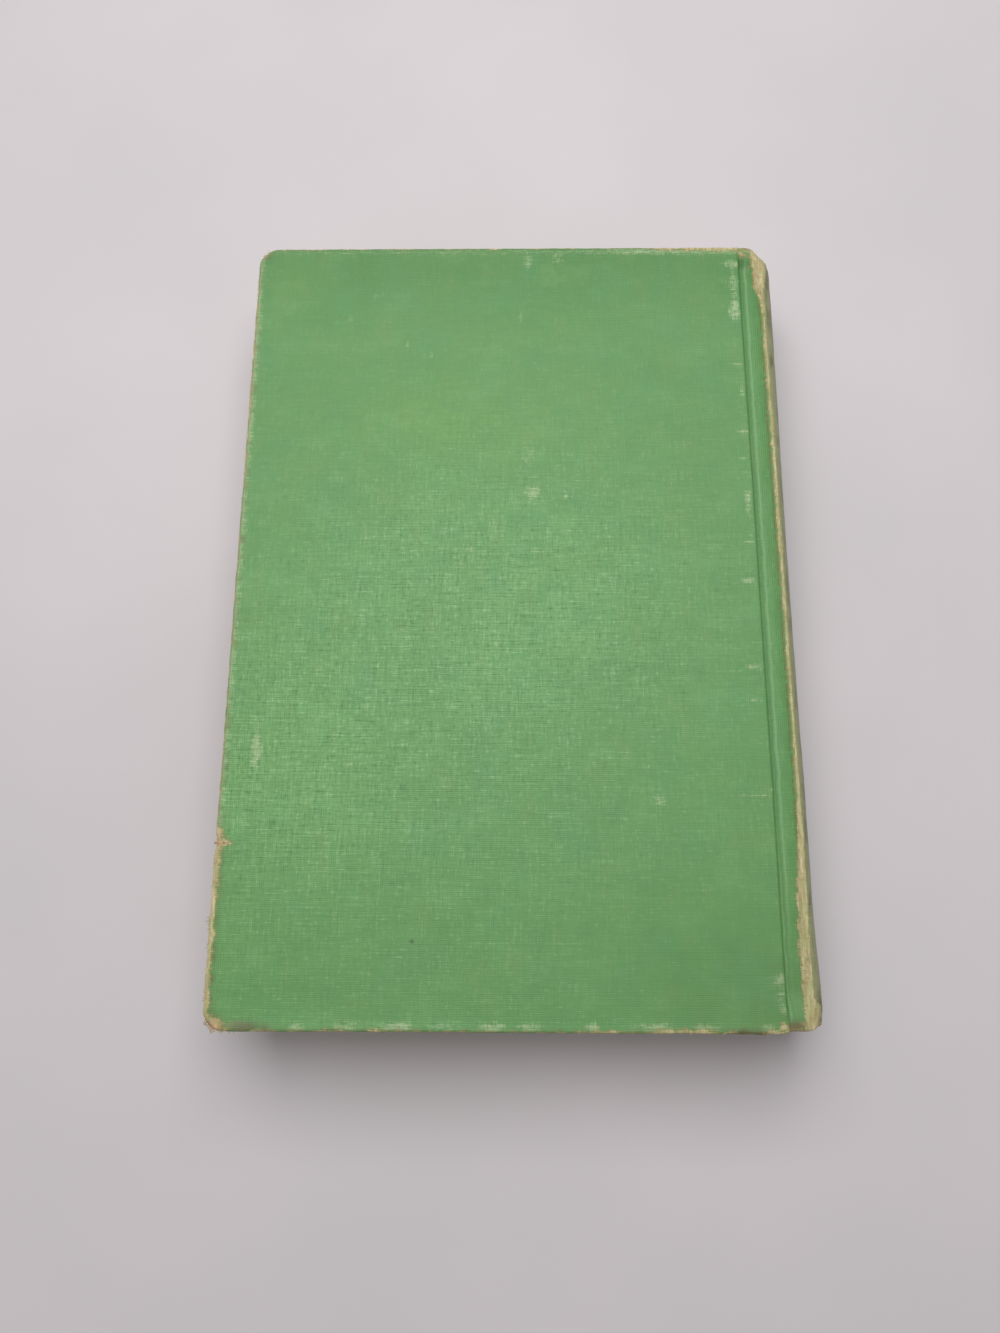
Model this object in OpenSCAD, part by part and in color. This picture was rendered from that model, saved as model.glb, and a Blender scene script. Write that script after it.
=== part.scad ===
// Cloth-bound hardback book, closed and lying flat on its front cover.
// The back cover is on top, the spine is toward +X, the head is toward +Y, and +Z is up.
// The origin is the middle of the footprint, on the surface that the book lies on.
// A rounded and backed text block hangs in a cloth case by its endpapers and its super.
// All sizes are in millimetres.

/* [Boards] */
// Height of a board, head to tail
board_h = 209.2; // [150:0.1:300]
// Width of a board, fore edge to joint
board_w = 134.6; // [90:0.1:220]
// Thickness of a board
board_t = 2.5; // [1.5:0.1:4]
// Radius of the two board corners at the fore edge
corner_r = 4.8; // [1:0.1:8]

/* [Case cloth] */
// Thickness of the book cloth with its glue
cloth_t = 0.4; // [0.2:0.05:0.6]
// Width of the cloth that is turned in over the boards' inner faces
turn_in = 15; // [10:0.5:20]
// Width of the slit where two turned-in strips meet at a mitred corner
mitre_slit = 0.3; // [0.1:0.05:1]
// Softening of the cloth's outer edges
edge_soft = 0.6; // [0.2:0.05:0.7]

/* [Joint] */
// Distance from a board's edge to the tip of the shoulder
groove_w = 5.6; // [4.5:0.1:9]
// Height of the shoulder above the outer leaf
shoulder_rise = 1.6; // [1:0.1:2.2]
// Gap between what turns with a cover and what stays with the block
joint_gap = 0.35; // [0.3:0.05:0.6]

/* [Text block] */
// Thickness of the leaves, between the two free endpapers
block_t = 22.4; // [10:0.1:50]
// How far the boards stand out past the leaves at the fore edge
square_fore = 3.2; // [2:0.1:5]
// How far the boards stand out past the leaves at head and tail
square_ends = 2.9; // [2.6:0.1:5]
// Depth of the hollow in the fore edge
fore_round = 3; // [1:0.1:5]
// Height of the round of the spine, over the shoulder tips
spine_round = 3.1; // [1.5:0.1:6]
// Number of folded gatherings
gatherings = 20; // [8:1:30]
// Depth of the valley between two gatherings at the spine
fold_dip = 0.25; // [0.1:0.05:0.4]

/* [Papers and linings] */
// Thickness of the endpapers
paper_t = 0.2; // [0.1:0.05:0.3]
// Air between a free endpaper and its pasted half
leaf_gap = 0.1; // [0.05:0.05:0.3]
// Thickness of the super, the open cotton on the spine
super_t = 0.25; // [0.1:0.05:0.3]
// How far the super reaches over the inner face of each board
super_lap = 25; // [10:1:35]
// How far the super stops short of the turned-in cloth
super_back = 3; // [1:0.5:20]
// Thickness of the paper lining of the spine
lining_t = 0.35; // [0.2:0.05:0.6]
// How far the lining stops short of the head and of the tail
lining_back = 1; // [0.5:0.5:10]
// Thickness of the card inlay in the case's spine
inlay_t = 0.6; // [0.4:0.05:1.2]
// Room for air in the hollow back, beside the turned-in cloth
hollow_air = 0.1; // [0.05:0.05:0.6]
// Glue between two curved layers
glue = 0.05; // [0.02:0.01:0.1]

/* [Head and tail bands] */
// Diameter of the band's bead
band_d = 1.7; // [1.2:0.1:2.2]
// Length of the band's skirt on the spine
band_skirt = 7; // [4:0.5:9]
// Thickness of the skirt
skirt_t = 0.25; // [0.1:0.05:0.25]
// How far the skirt sinks into the bead
skirt_bite = 0.1; // [0.05:0.01:0.15]
// Angle by which the band stops short of each shoulder tip
band_short = 1.5; // [0.5:0.1:4]

/* [Hidden] */
$fn = 48;

// Steps along the curved stretches of the cross-section
shoulder_steps = 8;
crest_steps = 8;
spine_steps = 24;
fore_steps = 16;
fold_steps = 6;
edge_steps = 3;
// Overshoot of a cut past the face that it opens
cut = 1;

// Cloth-covered case, and the leaves inside it
case_h = board_h + 2 * cloth_t;
leaf_h = board_h - 2 * square_ends;
half_block = block_t / 2;

// Levels in a cover, counted outward from the face of the outer leaf
paste_lo = paper_t + leaf_gap;
paste_hi = paste_lo + paper_t;
board_lo = paste_hi + cloth_t;
board_hi = board_lo + board_t;
cover_hi = board_hi + cloth_t;

// Levels in the joint: super and turned-in cloth share a layer under the outer cloth
inner_lo = paste_hi + glue;
inner_hi = inner_lo + cloth_t;
outer_lo = inner_hi + glue;
outer_hi = outer_lo + cloth_t;
stay_x = board_w + cloth_t + joint_gap;

// Levels on the spine, counted outward from the backs of the gatherings
lining_lo = 2 * glue + max(super_t, skirt_t);
lining_hi = lining_lo + lining_t;
hollow_lo = lining_hi + hollow_air;
hollow_hi = hollow_lo + cloth_t;
inlay_lo = hollow_hi + glue;
inlay_hi = inlay_lo + inlay_t;
back_lo = inlay_hi + glue;
back_hi = back_lo + cloth_t;

// Shoulder: an arc that leaves the leaf level and rises to the tip
shoulder_foot = stay_x;
tip = [board_w + groove_w, half_block + shoulder_rise];
shoulder_run = tip.x - shoulder_foot;
shoulder_angle = 2 * atan(shoulder_rise / shoulder_run);
shoulder_r = shoulder_run / sin(shoulder_angle);
shoulder_centre = [shoulder_foot, half_block + shoulder_r];

// Round of the spine: an arc over the two shoulder tips
spine_r = (tip.y * tip.y + spine_round * spine_round) / (2 * spine_round);
spine_centre = [tip.x + spine_round - spine_r, 0];
tip_angle = asin(tip.y / spine_r);

// The fold of the endpaper stops short of the tip, under the super
fold_back = 0.6;
fold_angle = shoulder_angle - fold_back / shoulder_r * 180 / PI;

// Whole book, and the middle of its footprint
total_t = 2 * (half_block + cover_hi);
mid_x = (spine_centre.x + spine_r + back_hi - cloth_t) / 2;

// Length of the super, which lies between the turned-in strips
super_h = board_h - 2 * (turn_in + super_back);

cloth_colour = [0.45, 0.62, 0.41];
board_colour = [0.72, 0.60, 0.46];
leaf_colour = [0.90, 0.85, 0.73];
endpaper_colour = [0.93, 0.90, 0.82];
super_colour = [0.88, 0.86, 0.78];
kraft_colour = [0.66, 0.52, 0.36];
band_colour = [0.86, 0.83, 0.70];

function reversed(points) = [for (i = [len(points) - 1:-1:0]) points[i]];

// The same points below the middle of the block, in the opposite order
function mirrored(points) = [for (p = reversed(points)) [p.x, -p.y]];

// Outward direction of a line that runs at angle a toward the spine
function outward(a) = [-sin(a), cos(a)];

// Line over the shoulder at distance f from the outer leaf, up to angle top
function shoulder_line(f, top) = [
    for (i = [0:shoulder_steps])
        shoulder_centre - (shoulder_r - f) * outward(i * top / shoulder_steps)
];

// Where a layer lies f outside the shoulder and s outside the spine, one arc joins both
function crest_shift(f, s) = (s - f) / (1 - sin(tip_angle - shoulder_angle));
function crest_line(f, s) =
    let (shift = crest_shift(f, s))
    let (centre = tip + shift * [cos(tip_angle), sin(tip_angle)])
    let (turn = tip_angle - 90 - shoulder_angle)
    [for (i = [0:crest_steps]) centre + (s - shift) * outward(shoulder_angle + i * turn / crest_steps)];

// Line along the round of the spine at distance s, from angle top down to angle bottom
function spine_line(s, top, bottom) = [
    for (i = [0:spine_steps])
        let (a = top + i * (bottom - top) / spine_steps)
        spine_centre + (spine_r + s) * [cos(a), sin(a)]
];

// Line from one joint over the spine to the other joint
function case_line(f, s) =
    let (side = concat([[stay_x, half_block + f]], shoulder_line(f, shoulder_angle), crest_line(f, s)))
    let (middle = spine_line(s, tip_angle, -tip_angle))
    concat(side, [for (i = [1:spine_steps - 1]) middle[i]], mirrored(side));

// Backs of the gatherings: one shallow bump for each
function gathering_line() =
    let (n = gatherings * fold_steps)
    [
        for (i = [0:n])
            let (a = tip_angle * (1 - 2 * i / n))
            let (dip = i == 0 || i == n ? 0 : fold_dip * (1 - abs(sin(180 * i / fold_steps))))
            spine_centre + (spine_r - dip) * [cos(a), sin(a)]
    ];

// Hollow fore edge, from the bottom leaf up to the top leaf
function fore_line() =
    let (r = (half_block * half_block + fore_round * fore_round) / (2 * fore_round))
    let (half_angle = asin(half_block / r))
    [
        for (i = [0:fore_steps])
            let (a = half_angle * (2 * i / fore_steps - 1))
            [square_fore + fore_round - r + r * cos(a), r * sin(a)]
    ];

// Puts the book's own middle over the origin, with the front cover on the ground
module in_place() {
    translate([-mid_x, 0, total_t / 2])
        children();
}

// A cross-section carried along the book's height, from y = low to y = high
module along(low, high) {
    translate([0, high, 0])
        rotate([90, 0, 0])
            linear_extrude(high - low)
                children();
}

// A layer of the case between two lines, from joint to joint
module case_layer(f_lo, s_lo, f_hi, s_hi) {
    polygon(concat(case_line(f_hi, s_hi), reversed(case_line(f_lo, s_lo))));
}

// A layer on the round of the spine alone
module spine_layer(s_lo, s_hi) {
    polygon(concat(
        spine_line(s_hi, tip_angle, -tip_angle),
        reversed(spine_line(s_lo, tip_angle, -tip_angle))
    ));
}

// All leaves as one solid: hollow fore edge, shoulders, and the backs of the gatherings
module text_block() {
    side = shoulder_line(0, shoulder_angle);
    backs = gathering_line();
    color(leaf_colour)
        in_place()
            along(-leaf_h / 2, leaf_h / 2)
                polygon(concat(
                    fore_line(),
                    side,
                    [for (i = [1:len(backs) - 2]) backs[i]],
                    mirrored(side)
                ));
}

// The super on the spine and down both shoulders, as far as the joints
module spine_super() {
    color(super_colour)
        in_place()
            along(-super_h / 2, super_h / 2)
                case_layer(inner_lo, glue, inner_lo + super_t, glue + super_t);
}

module spine_lining() {
    half = leaf_h / 2 - lining_back;
    color(kraft_colour)
        in_place()
            along(-half, half)
                spine_layer(lining_lo, lining_hi);
}

// A band at the head: a bead on the leaves' ends, and a skirt glued to the spine
module end_band() {
    top = leaf_h / 2 + glue;
    sweep = tip_angle - band_short;
    color(band_colour)
        in_place()
            translate([spine_centre.x, 0, 0])
                rotate([-90, 0, 0])
                    rotate([0, 0, -sweep])
                        rotate_extrude(angle = 2 * sweep, $fn = 96) {
                            translate([spine_r + glue + skirt_bite - band_d / 2, top + band_d / 2])
                                circle(d = band_d, $fn = 24);
                            translate([spine_r + glue, top - band_skirt])
                                square([skirt_t, band_skirt + band_d / 2]);
                        }
}

module head_band() {
    end_band();
}

module tail_band() {
    mirror([0, 1, 0])
        end_band();
}

module spine_inlay() {
    color(kraft_colour)
        in_place()
            along(-board_h / 2, board_h / 2)
                spine_layer(inlay_lo, inlay_hi);
}

// The case cloth over the spine and into both joints, turned in over the inlay's ends
module spine_cloth() {
    color(cloth_colour)
        in_place() {
            along(-case_h / 2, case_h / 2)
                case_layer(outer_lo, back_lo, outer_hi, back_hi);
            for (end = [0, 1])
                mirror([0, end, 0]) {
                    along(board_h / 2, case_h / 2)
                        case_layer(inner_lo, hollow_lo, outer_hi, back_hi);
                    along(board_h / 2 - turn_in, case_h / 2)
                        case_layer(inner_lo, hollow_lo, inner_hi, hollow_hi);
                }
        }
}

// A folded endpaper: the free leaf, the fold at the shoulder, and the strip in the joint.
// It is tipped to the outer leaf by a line of glue along the shoulder.
module endpaper() {
    color(endpaper_colour)
        along(-leaf_h / 2, leaf_h / 2)
            polygon(concat(
                [[square_fore, half_block]],
                shoulder_line(glue, fold_angle),
                reversed(shoulder_line(paste_hi, fold_angle)),
                [[stay_x, half_block + paste_lo]],
                [for (p = shoulder_line(paste_lo, fold_angle)) if (p.x < tip.x - 2 * fold_back) p],
                reversed([for (p = shoulder_line(paper_t, fold_angle)) if (p.x < tip.x - 2 * fold_back) p]),
                [[square_fore, half_block + paper_t]]
            ));
}

module back_endpaper() {
    in_place()
        endpaper();
}

module front_endpaper() {
    in_place()
        mirror([0, 0, 1])
            endpaper();
}

// Outline of a cover from above: round corners at the fore edge, square ones at the joint
module cover_outline(grow) {
    r = corner_r + grow;
    half = board_h / 2 + grow;
    translate([r - grow, -half])
        square([board_w + 2 * grow - r, 2 * half]);
    translate([-grow, r - half])
        square([2 * r, 2 * (half - r)]);
    for (end = [-1, 1])
        translate([r - grow, end * (half - r)])
            circle(r);
}

// Points round one softened corner of a section
function soft_corner(centre, start) = [
    for (i = [0:edge_steps])
        centre + edge_soft * [cos(start + 90 * i / edge_steps), sin(start + 90 * i / edge_steps)]
];

// Section of a cover with its two outer edges softened
module soft_section(low, high) {
    top = half_block + cover_hi;
    polygon(concat(
        [[low, 0], [high, 0]],
        soft_corner([high - edge_soft, top - edge_soft], 0),
        soft_corner([low + edge_soft, top - edge_soft], 90)
    ));
}

// A board: plain, with the corners at the fore edge taken off round
module board() {
    color(board_colour)
        translate([0, 0, half_block + board_lo])
            linear_extrude(board_t)
                cover_outline(0);
}

// Slit between two turned-in strips, from the corner of the opening to near the board's corner
module mitre() {
    corner = [turn_in, board_h / 2 - turn_in];
    reach = sqrt(2) * (turn_in - corner_r);
    translate([corner.x, corner.y, half_block + paste_hi - cut])
        rotate([0, 0, 135])
            translate([-cut, -mitre_slit / 2, 0])
                cube([reach + cut, mitre_slit, cloth_t + cut]);
}

// The case cloth round a board: outer face, four edges, and strips turned in on three sides
module cover_cloth() {
    inside = board_h / 2 - turn_in;
    color(cloth_colour)
        difference() {
            intersection() {
                translate([0, 0, half_block + paste_hi])
                    linear_extrude(cover_hi - paste_hi)
                        cover_outline(cloth_t);
                along(-case_h, case_h)
                    soft_section(-cloth_t, board_w + cloth_t);
                translate([-board_w / 2, 0, 0])
                    rotate([90, 0, 90])
                        linear_extrude(2 * board_w)
                            soft_section(-case_h / 2, case_h / 2);
            }
            translate([0, 0, half_block + board_lo])
                linear_extrude(board_t)
                    cover_outline(0);
            translate([turn_in, -inside, half_block + paste_hi - cut])
                cube([board_w, 2 * inside, cloth_t + cut]);
            mitre();
            mirror([0, 1, 0])
                mitre();
        }
}

// The pasted half of an endpaper, which dips onto the board inside the turned-in cloth
module pastedown() {
    dip = [turn_in, turn_in - board_h / 2];
    dip_size = [board_w - super_lap - turn_in, board_h - 2 * turn_in];
    color(endpaper_colour)
        difference() {
            union() {
                translate([square_fore, -leaf_h / 2, half_block + paste_lo])
                    cube([board_w + cloth_t - square_fore, leaf_h, paper_t]);
                translate([dip.x + glue, dip.y + glue, half_block + paste_lo])
                    cube([dip_size.x - 2 * glue, dip_size.y - 2 * glue, board_lo - paste_lo - glue]);
            }
            translate([dip.x + glue + paper_t, dip.y + glue + paper_t, half_block + paste_lo - cut])
                cube([
                    dip_size.x - 2 * (glue + paper_t),
                    dip_size.y - 2 * (glue + paper_t),
                    board_lo - paste_lo - glue - paper_t + cut
                ]);
        }
}

// The part of the super that is glued to a board
module super_flange() {
    color(super_colour)
        translate([board_w - super_lap + glue, -super_h / 2, half_block + inner_lo])
            cube([super_lap - glue + cloth_t, super_h, super_t]);
}

module back_board() {
    in_place()
        board();
}

module back_cover_cloth() {
    in_place()
        cover_cloth();
}

module back_pastedown() {
    in_place()
        pastedown();
}

module back_super_flange() {
    in_place()
        super_flange();
}

module front_board() {
    in_place()
        mirror([0, 0, 1])
            board();
}

module front_cover_cloth() {
    in_place()
        mirror([0, 0, 1])
            cover_cloth();
}

module front_pastedown() {
    in_place()
        mirror([0, 0, 1])
            pastedown();
}

module front_super_flange() {
    in_place()
        mirror([0, 0, 1])
            super_flange();
}

text_block();
spine_super();
spine_lining();
head_band();
tail_band();
spine_inlay();
spine_cloth();
back_endpaper();
front_endpaper();
back_board();
back_cover_cloth();
back_pastedown();
back_super_flange();
front_board();
front_cover_cloth();
front_pastedown();
front_super_flange();
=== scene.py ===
# %% [markdown]
# # A cloth-bound hardback book, closed and lying on its front cover
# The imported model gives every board, leaf block and lining its real size and place. This lesson
# dresses that model: the book cloth that wraps the case, the leaves, the folded endpapers, the
# bands at head and tail, and the wear of a book that has been read and shelved for decades.
#
# All shapes are worked out in millimetres and go into the meshes in metres.

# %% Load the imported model
import math

import bmesh
import bpy
import numpy as np
from mathutils import Euler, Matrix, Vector


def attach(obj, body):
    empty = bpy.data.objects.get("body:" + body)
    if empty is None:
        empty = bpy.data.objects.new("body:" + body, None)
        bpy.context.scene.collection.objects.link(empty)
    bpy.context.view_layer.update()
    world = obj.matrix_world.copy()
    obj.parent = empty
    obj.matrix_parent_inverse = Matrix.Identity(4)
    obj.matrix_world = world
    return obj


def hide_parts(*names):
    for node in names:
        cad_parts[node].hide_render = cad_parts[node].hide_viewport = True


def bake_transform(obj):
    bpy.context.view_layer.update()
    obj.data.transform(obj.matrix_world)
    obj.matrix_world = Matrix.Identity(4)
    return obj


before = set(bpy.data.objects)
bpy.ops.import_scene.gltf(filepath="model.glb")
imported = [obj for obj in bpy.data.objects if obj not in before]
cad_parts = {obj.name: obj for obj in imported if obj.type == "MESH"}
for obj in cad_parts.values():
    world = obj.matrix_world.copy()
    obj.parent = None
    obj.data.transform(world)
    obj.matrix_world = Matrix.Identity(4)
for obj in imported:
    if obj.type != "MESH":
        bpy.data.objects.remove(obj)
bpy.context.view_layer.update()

# %% [markdown]
# ## The camera
# The photograph looks down on the book from above its tail half, with the lens of a phone. Where
# the camera stood follows from the corners of the cover, whose real places the model knows. The
# lens is 27 mm on a frame 36 mm high, since the picture is taller than it is wide.

# %% Camera
LENS = 27.0
CAMERA_PLACE = (-0.00079, -0.082544, 0.273245)
CAMERA_TURN = (14.892, 0.756, 0.258)  # degrees about x, y and z
camera_data = bpy.data.cameras.new("camera")
camera_data.sensor_fit = "AUTO"
camera_data.sensor_width = 36
camera_data.lens = LENS
camera_data.clip_start = 0.01
camera = bpy.data.objects.new("camera", camera_data)
camera.location = CAMERA_PLACE
camera.rotation_euler = Euler([math.radians(a) for a in CAMERA_TURN])
bpy.context.collection.objects.link(camera)
bpy.context.scene.camera = camera
print("camera height, mm:", round(camera.location.z * 1000, 1))

# %% [markdown]
# ## Numbers of the binding
# A case binding is a stack of thin layers that all follow one cross-section: flat over the
# boards, down into the joint, up over the shoulder of the text block, and round the spine. With
# a few numbers, each layer is the same line at another distance from the leaves. All are in mm.
#
# The section is drawn with x = 0 at the board's fore edge and z = 0 in the middle of the leaves.

# %% Numbers
MM = 0.001
MID_X = 72.6  # the middle of the book, from the board's fore edge
MID_Z = 15.0  # the middle of the leaves, from the surface the book lies on
HALF_W = 73.0
HALF_H = 105.0
EDGE_X = -0.4  # outside of the cloth at the fore edge
BOARD_W = 134.6
CORNER_R = 5.2  # outside of the cloth round the cover's corners
COVER_TOP = 15.0  # outside of the cover, from the middle of the leaves
COVER_IN = 11.7  # inside of the cover
LEAF_HALF_H = 101.7
LEAF_FORE_X = 3.2
HALF_BLOCK = 11.2  # half the thickness of the leaves
STAY_X = 135.35  # where the leaves stop being flat and the joint starts
print("the joint starts", round(STAY_X - MID_X, 2), "mm right of the middle")

# %% [markdown]
# ## Lines of the section
# The shoulder, the crest and the spine are arcs that touch one another without a kink. Moving a
# line outward only changes each arc's radius, which is how the binder's layers really lie.

# %% Shoulder, crest and spine
SHOULDER_ANGLE = 36.515
SHOULDER_R = 8.151
SHOULDER_CENTRE = np.array([STAY_X, 19.351])
TIP = np.array([140.2, 12.8])
TIP_ANGLE = 27.23
SPINE_CENTRE_X = 115.324
SPINE_R = 27.976
OUTER_AWAY = (1.4, 2.3)  # outside of the cloth, from the shoulder and from the spine
INNER_AWAY = (0.55, 0.8)  # inside of the cloth


def outward(degrees):
    """Unit vector square to a line that climbs at that angle: (-sine, cosine)."""
    angle = np.radians(degrees)
    return np.stack([-np.sin(angle), np.cos(angle)], axis=-1)


def shoulder_line(away, top=SHOULDER_ANGLE, count=24):
    """Arc from the leaf level up the shoulder: its centre, less (radius - distance) times outward."""
    return SHOULDER_CENTRE - (SHOULDER_R - away) * outward(np.linspace(0, top, count))


def crest_line(away, away_spine, count=24):
    """Arc over the shoulder's tip: its centre lies beyond the tip by the shift that lets it touch
    both the shoulder's line and the spine's line."""
    shift = (away_spine - away) / (1 - math.sin(math.radians(TIP_ANGLE - SHOULDER_ANGLE)))
    lean = math.radians(TIP_ANGLE)
    centre = TIP + shift * np.array([math.cos(lean), math.sin(lean)])
    turn = TIP_ANGLE - 90 - SHOULDER_ANGLE
    angles = SHOULDER_ANGLE + np.linspace(0, 1, count) * turn
    return centre + (away_spine - shift) * outward(angles)


def spine_line(away, top=TIP_ANGLE, bottom=0.0, count=48):
    """Arc round the spine: centre plus (radius + distance) times (cosine, sine)."""
    angles = np.radians(np.linspace(top, bottom, count))
    radius = SPINE_R + away
    return np.stack([SPINE_CENTRE_X + radius * np.cos(angles), radius * np.sin(angles)], axis=-1)


print("crest of the shoulder, mm:", crest_line(*OUTER_AWAY).max(axis=0).round(2))

# %% [markdown]
# Cloth can't turn as sharply as the drawn lines do at the edge of the board, so the kinks are
# rubbed round. Both faces of the cloth are rubbed with the same weights, which keeps them apart.
# Then the line is read off again at chosen stations, close together only where it bends.

# %% Lines made smooth


def straight(start, end, count=12):
    """Points on a straight line, the end left out."""
    share = np.linspace(0, 1, count, endpoint=False)[:, None]
    return np.array(start) * (1 - share) + np.array(end) * share


def lengths(line):
    """Distance along a line at each of its points: the running sum of its steps."""
    steps = np.linalg.norm(np.diff(line, axis=0), axis=1)
    return np.concatenate([[0], np.cumsum(steps)])


def eased(lines, reach, step=0.05):
    """Lines that run side by side, with their kinks rubbed round: each is sampled evenly along
    the first one and averaged with a bell-shaped weight as wide as the reach."""
    along = lengths(lines[0])
    fine = np.linspace(0, along[-1], int(along[-1] / step) + 1)
    half = int(4 * reach / step)
    weights = np.exp(-0.5 * (np.arange(-half, half + 1) * step / reach) ** 2)
    weights /= weights.sum()
    out = []
    for line in lines:
        columns = []
        for k in (0, 1):
            values = np.interp(fine, along, line[:, k])
            before = 2 * values[0] - values[half:0:-1]
            after = 2 * values[-1] - values[-2:-half - 2:-1]
            padded = np.concatenate([before, values, after])
            columns.append(np.convolve(padded, weights, mode="valid"))
        out.append(np.stack(columns, axis=-1))
    return fine, out


def stations(fine, line, at):
    """Points and outward directions of a fine line at the given distances along it."""
    points = np.stack([np.interp(at, fine, line[:, k]) for k in (0, 1)], axis=-1)
    slope = np.gradient(line, axis=0)
    slope = np.stack([np.interp(at, fine, slope[:, k]) for k in (0, 1)], axis=-1)
    slope /= np.linalg.norm(slope, axis=1)[:, None]
    return points, np.stack([-slope[:, 1], slope[:, 0]], axis=-1)


print("the arc up the shoulder is", round(lengths(shoulder_line(0))[-1], 2), "mm long")

# %% [markdown]
# ## From grids to meshes
# Each surface is a grid of points worked out as one array. Three small functions shape nearly
# everything on it: noise that is soft, a bell round a place, and an eased ramp between two
# numbers. They take whole arrays, so no point is handled alone.

# %% Noise, bells and ramps


def soft_noise(a, b, seed):
    """Smooth values from -1 to 1: random numbers sit on the crossings of a grid, and each point
    blends its four neighbours with the weight 3t^2 - 2t^3."""
    size = 128
    table = np.random.default_rng(seed).uniform(-1, 1, (size, size))
    a, b = np.broadcast_arrays(np.asarray(a, float), np.asarray(b, float))
    i = np.floor(a).astype(int)
    j = np.floor(b).astype(int)
    s = a - i
    t = b - j
    s = s * s * (3 - 2 * s)
    t = t * t * (3 - 2 * t)
    low = table[i % size, j % size] * (1 - s) + table[(i + 1) % size, j % size] * s
    high = table[i % size, (j + 1) % size] * (1 - s) + table[(i + 1) % size, (j + 1) % size] * s
    return low * (1 - t) + high * t


def bell(distance, reach):
    """Bell curve: 1 at no distance, 0.37 at one reach, and soon nothing."""
    return np.exp(-(distance / reach) ** 2)


def ramp(value, low, high):
    """0 below low, 1 above high, and an eased rise between them."""
    t = np.clip((value - low) / (high - low), 0, 1)
    return t * t * (3 - 2 * t)


print("a bell at one reach:", bell(1, 1).round(2), "and a ramp a quarter up:", ramp(0.25, 0, 1))

# %% [markdown]
# A grid becomes a mesh when each point is joined to its neighbours. Four shifted copies of the
# points' numbers give the corners of all quads at once.

# %% Quads of a grid


def grid_quads(rows, columns, start, closed=False):
    """Corner numbers of the quads between neighbouring points of a grid."""
    index = start + np.arange(rows * columns).reshape(rows, columns)
    if closed:
        index = np.concatenate([index, index[:, :1]], axis=1)
    quads = [index[:-1, :-1], index[:-1, 1:], index[1:, 1:], index[1:, :-1]]
    return np.stack(quads, axis=-1).reshape(-1, 4)


print("a grid of 3 by 4 points has", len(grid_quads(3, 4, 0)), "quads")

# %% [markdown]
# A piece is often several grids side by side, such as the face of the cloth and its band. They are
# stacked into one list of points, and each point brings along what the finish needs to know
# there, such as how worn the cloth is. Blender keeps such values in the mesh as attributes.

# %% Several grids as one


def stacked(grids, closed):
    """Points, quads and attribute values of several grids, numbered as one."""
    points = []
    quads = []
    values = {}
    start = 0
    for grid, facts in grids:
        rows, columns = grid.shape[:2]
        points.append(grid.reshape(-1, 3))
        quads.append(grid_quads(rows, columns, start, closed))
        for key, array in facts.items():
            values.setdefault(key, []).append(array.reshape(rows * columns, -1))
        start += rows * columns
    values = {key: np.concatenate(arrays) for key, arrays in values.items()}
    return np.concatenate(points) * MM, np.concatenate(quads), values


def store(mesh, values):
    """Gives each point of the mesh its values: three numbers are a place, and one is a share."""
    for key, flat in values.items():
        if flat.shape[1] == 3:
            mesh.attributes.new(key, "FLOAT_VECTOR", "POINT").data.foreach_set("vector", flat.ravel())
        else:
            mesh.attributes.new(key, "FLOAT", "POINT").data.foreach_set("value", flat.ravel())


# %% [markdown]
# A mesh from grids needs care in three places. Points that two grids share are welded, or a seam
# shows. The faces have to look outward, or light and thickness go the wrong way. And the shading
# is smooth everywhere, except along a border that only one face has.

# %% Weld, turn and shade
WELD = 0.00001  # metres: points nearer than this become one


def weld(mesh):
    """Joins points that coincide, and makes neighbouring faces agree on their outer side."""
    shell = bmesh.new()
    shell.from_mesh(mesh)
    bmesh.ops.remove_doubles(shell, verts=shell.verts, dist=WELD)
    bmesh.ops.recalc_face_normals(shell, faces=shell.faces)
    shell.to_mesh(mesh)
    shell.free()


def face_outward(mesh, inside):
    """Turns the mesh about if its faces mostly point towards the inside: the sum of each face's
    area times the part of its normal that leads away from there is then below zero."""
    count = len(mesh.polygons)
    middles = np.empty(count * 3)
    normals = np.empty(count * 3)
    areas = np.empty(count)
    mesh.polygons.foreach_get("center", middles)
    mesh.polygons.foreach_get("normal", normals)
    mesh.polygons.foreach_get("area", areas)
    middles = middles.reshape(-1, 3)
    normals = normals.reshape(-1, 3)
    middle = middles.mean(axis=0) if inside is None else np.array(inside) * MM
    if (areas * ((middles - middle) * normals).sum(axis=1)).sum() < 0:
        mesh.flip_normals()


def shade(mesh):
    """Smooth shading, with sharp edges along every open border."""
    mesh.polygons.foreach_set("use_smooth", np.ones(len(mesh.polygons), bool))
    edge_of = np.empty(len(mesh.loops), int)
    mesh.loops.foreach_get("edge_index", edge_of)
    uses = np.bincount(edge_of, minlength=len(mesh.edges))
    sharp = mesh.attributes.get("sharp_edge") or mesh.attributes.new("sharp_edge", "BOOLEAN", "EDGE")
    sharp.data.foreach_set("value", uses == 1)


# %% [markdown]
# With these, every piece is made by one call. Cloth, paper and card get their thickness from a
# Solidify modifier, which adds a wall behind the surface and closes the rim.

# %% Pieces


def make_piece(name, grids, closed=False, inside=None):
    """One mesh from several grids. A grid is (points in mm, {attribute: values}). Inside is a
    point in mm that the faces look away from: the middle of the piece, unless one is given."""
    points, quads, values = stacked(grids, closed)
    mesh = bpy.data.meshes.new(name)
    mesh.from_pydata(points.tolist(), [], quads.tolist())
    store(mesh, values)
    weld(mesh)
    face_outward(mesh, inside)
    shade(mesh)
    piece = bpy.data.objects.new(name, mesh)
    bpy.context.collection.objects.link(piece)
    print(name, "has", len(mesh.polygons), "faces")
    return piece


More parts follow.
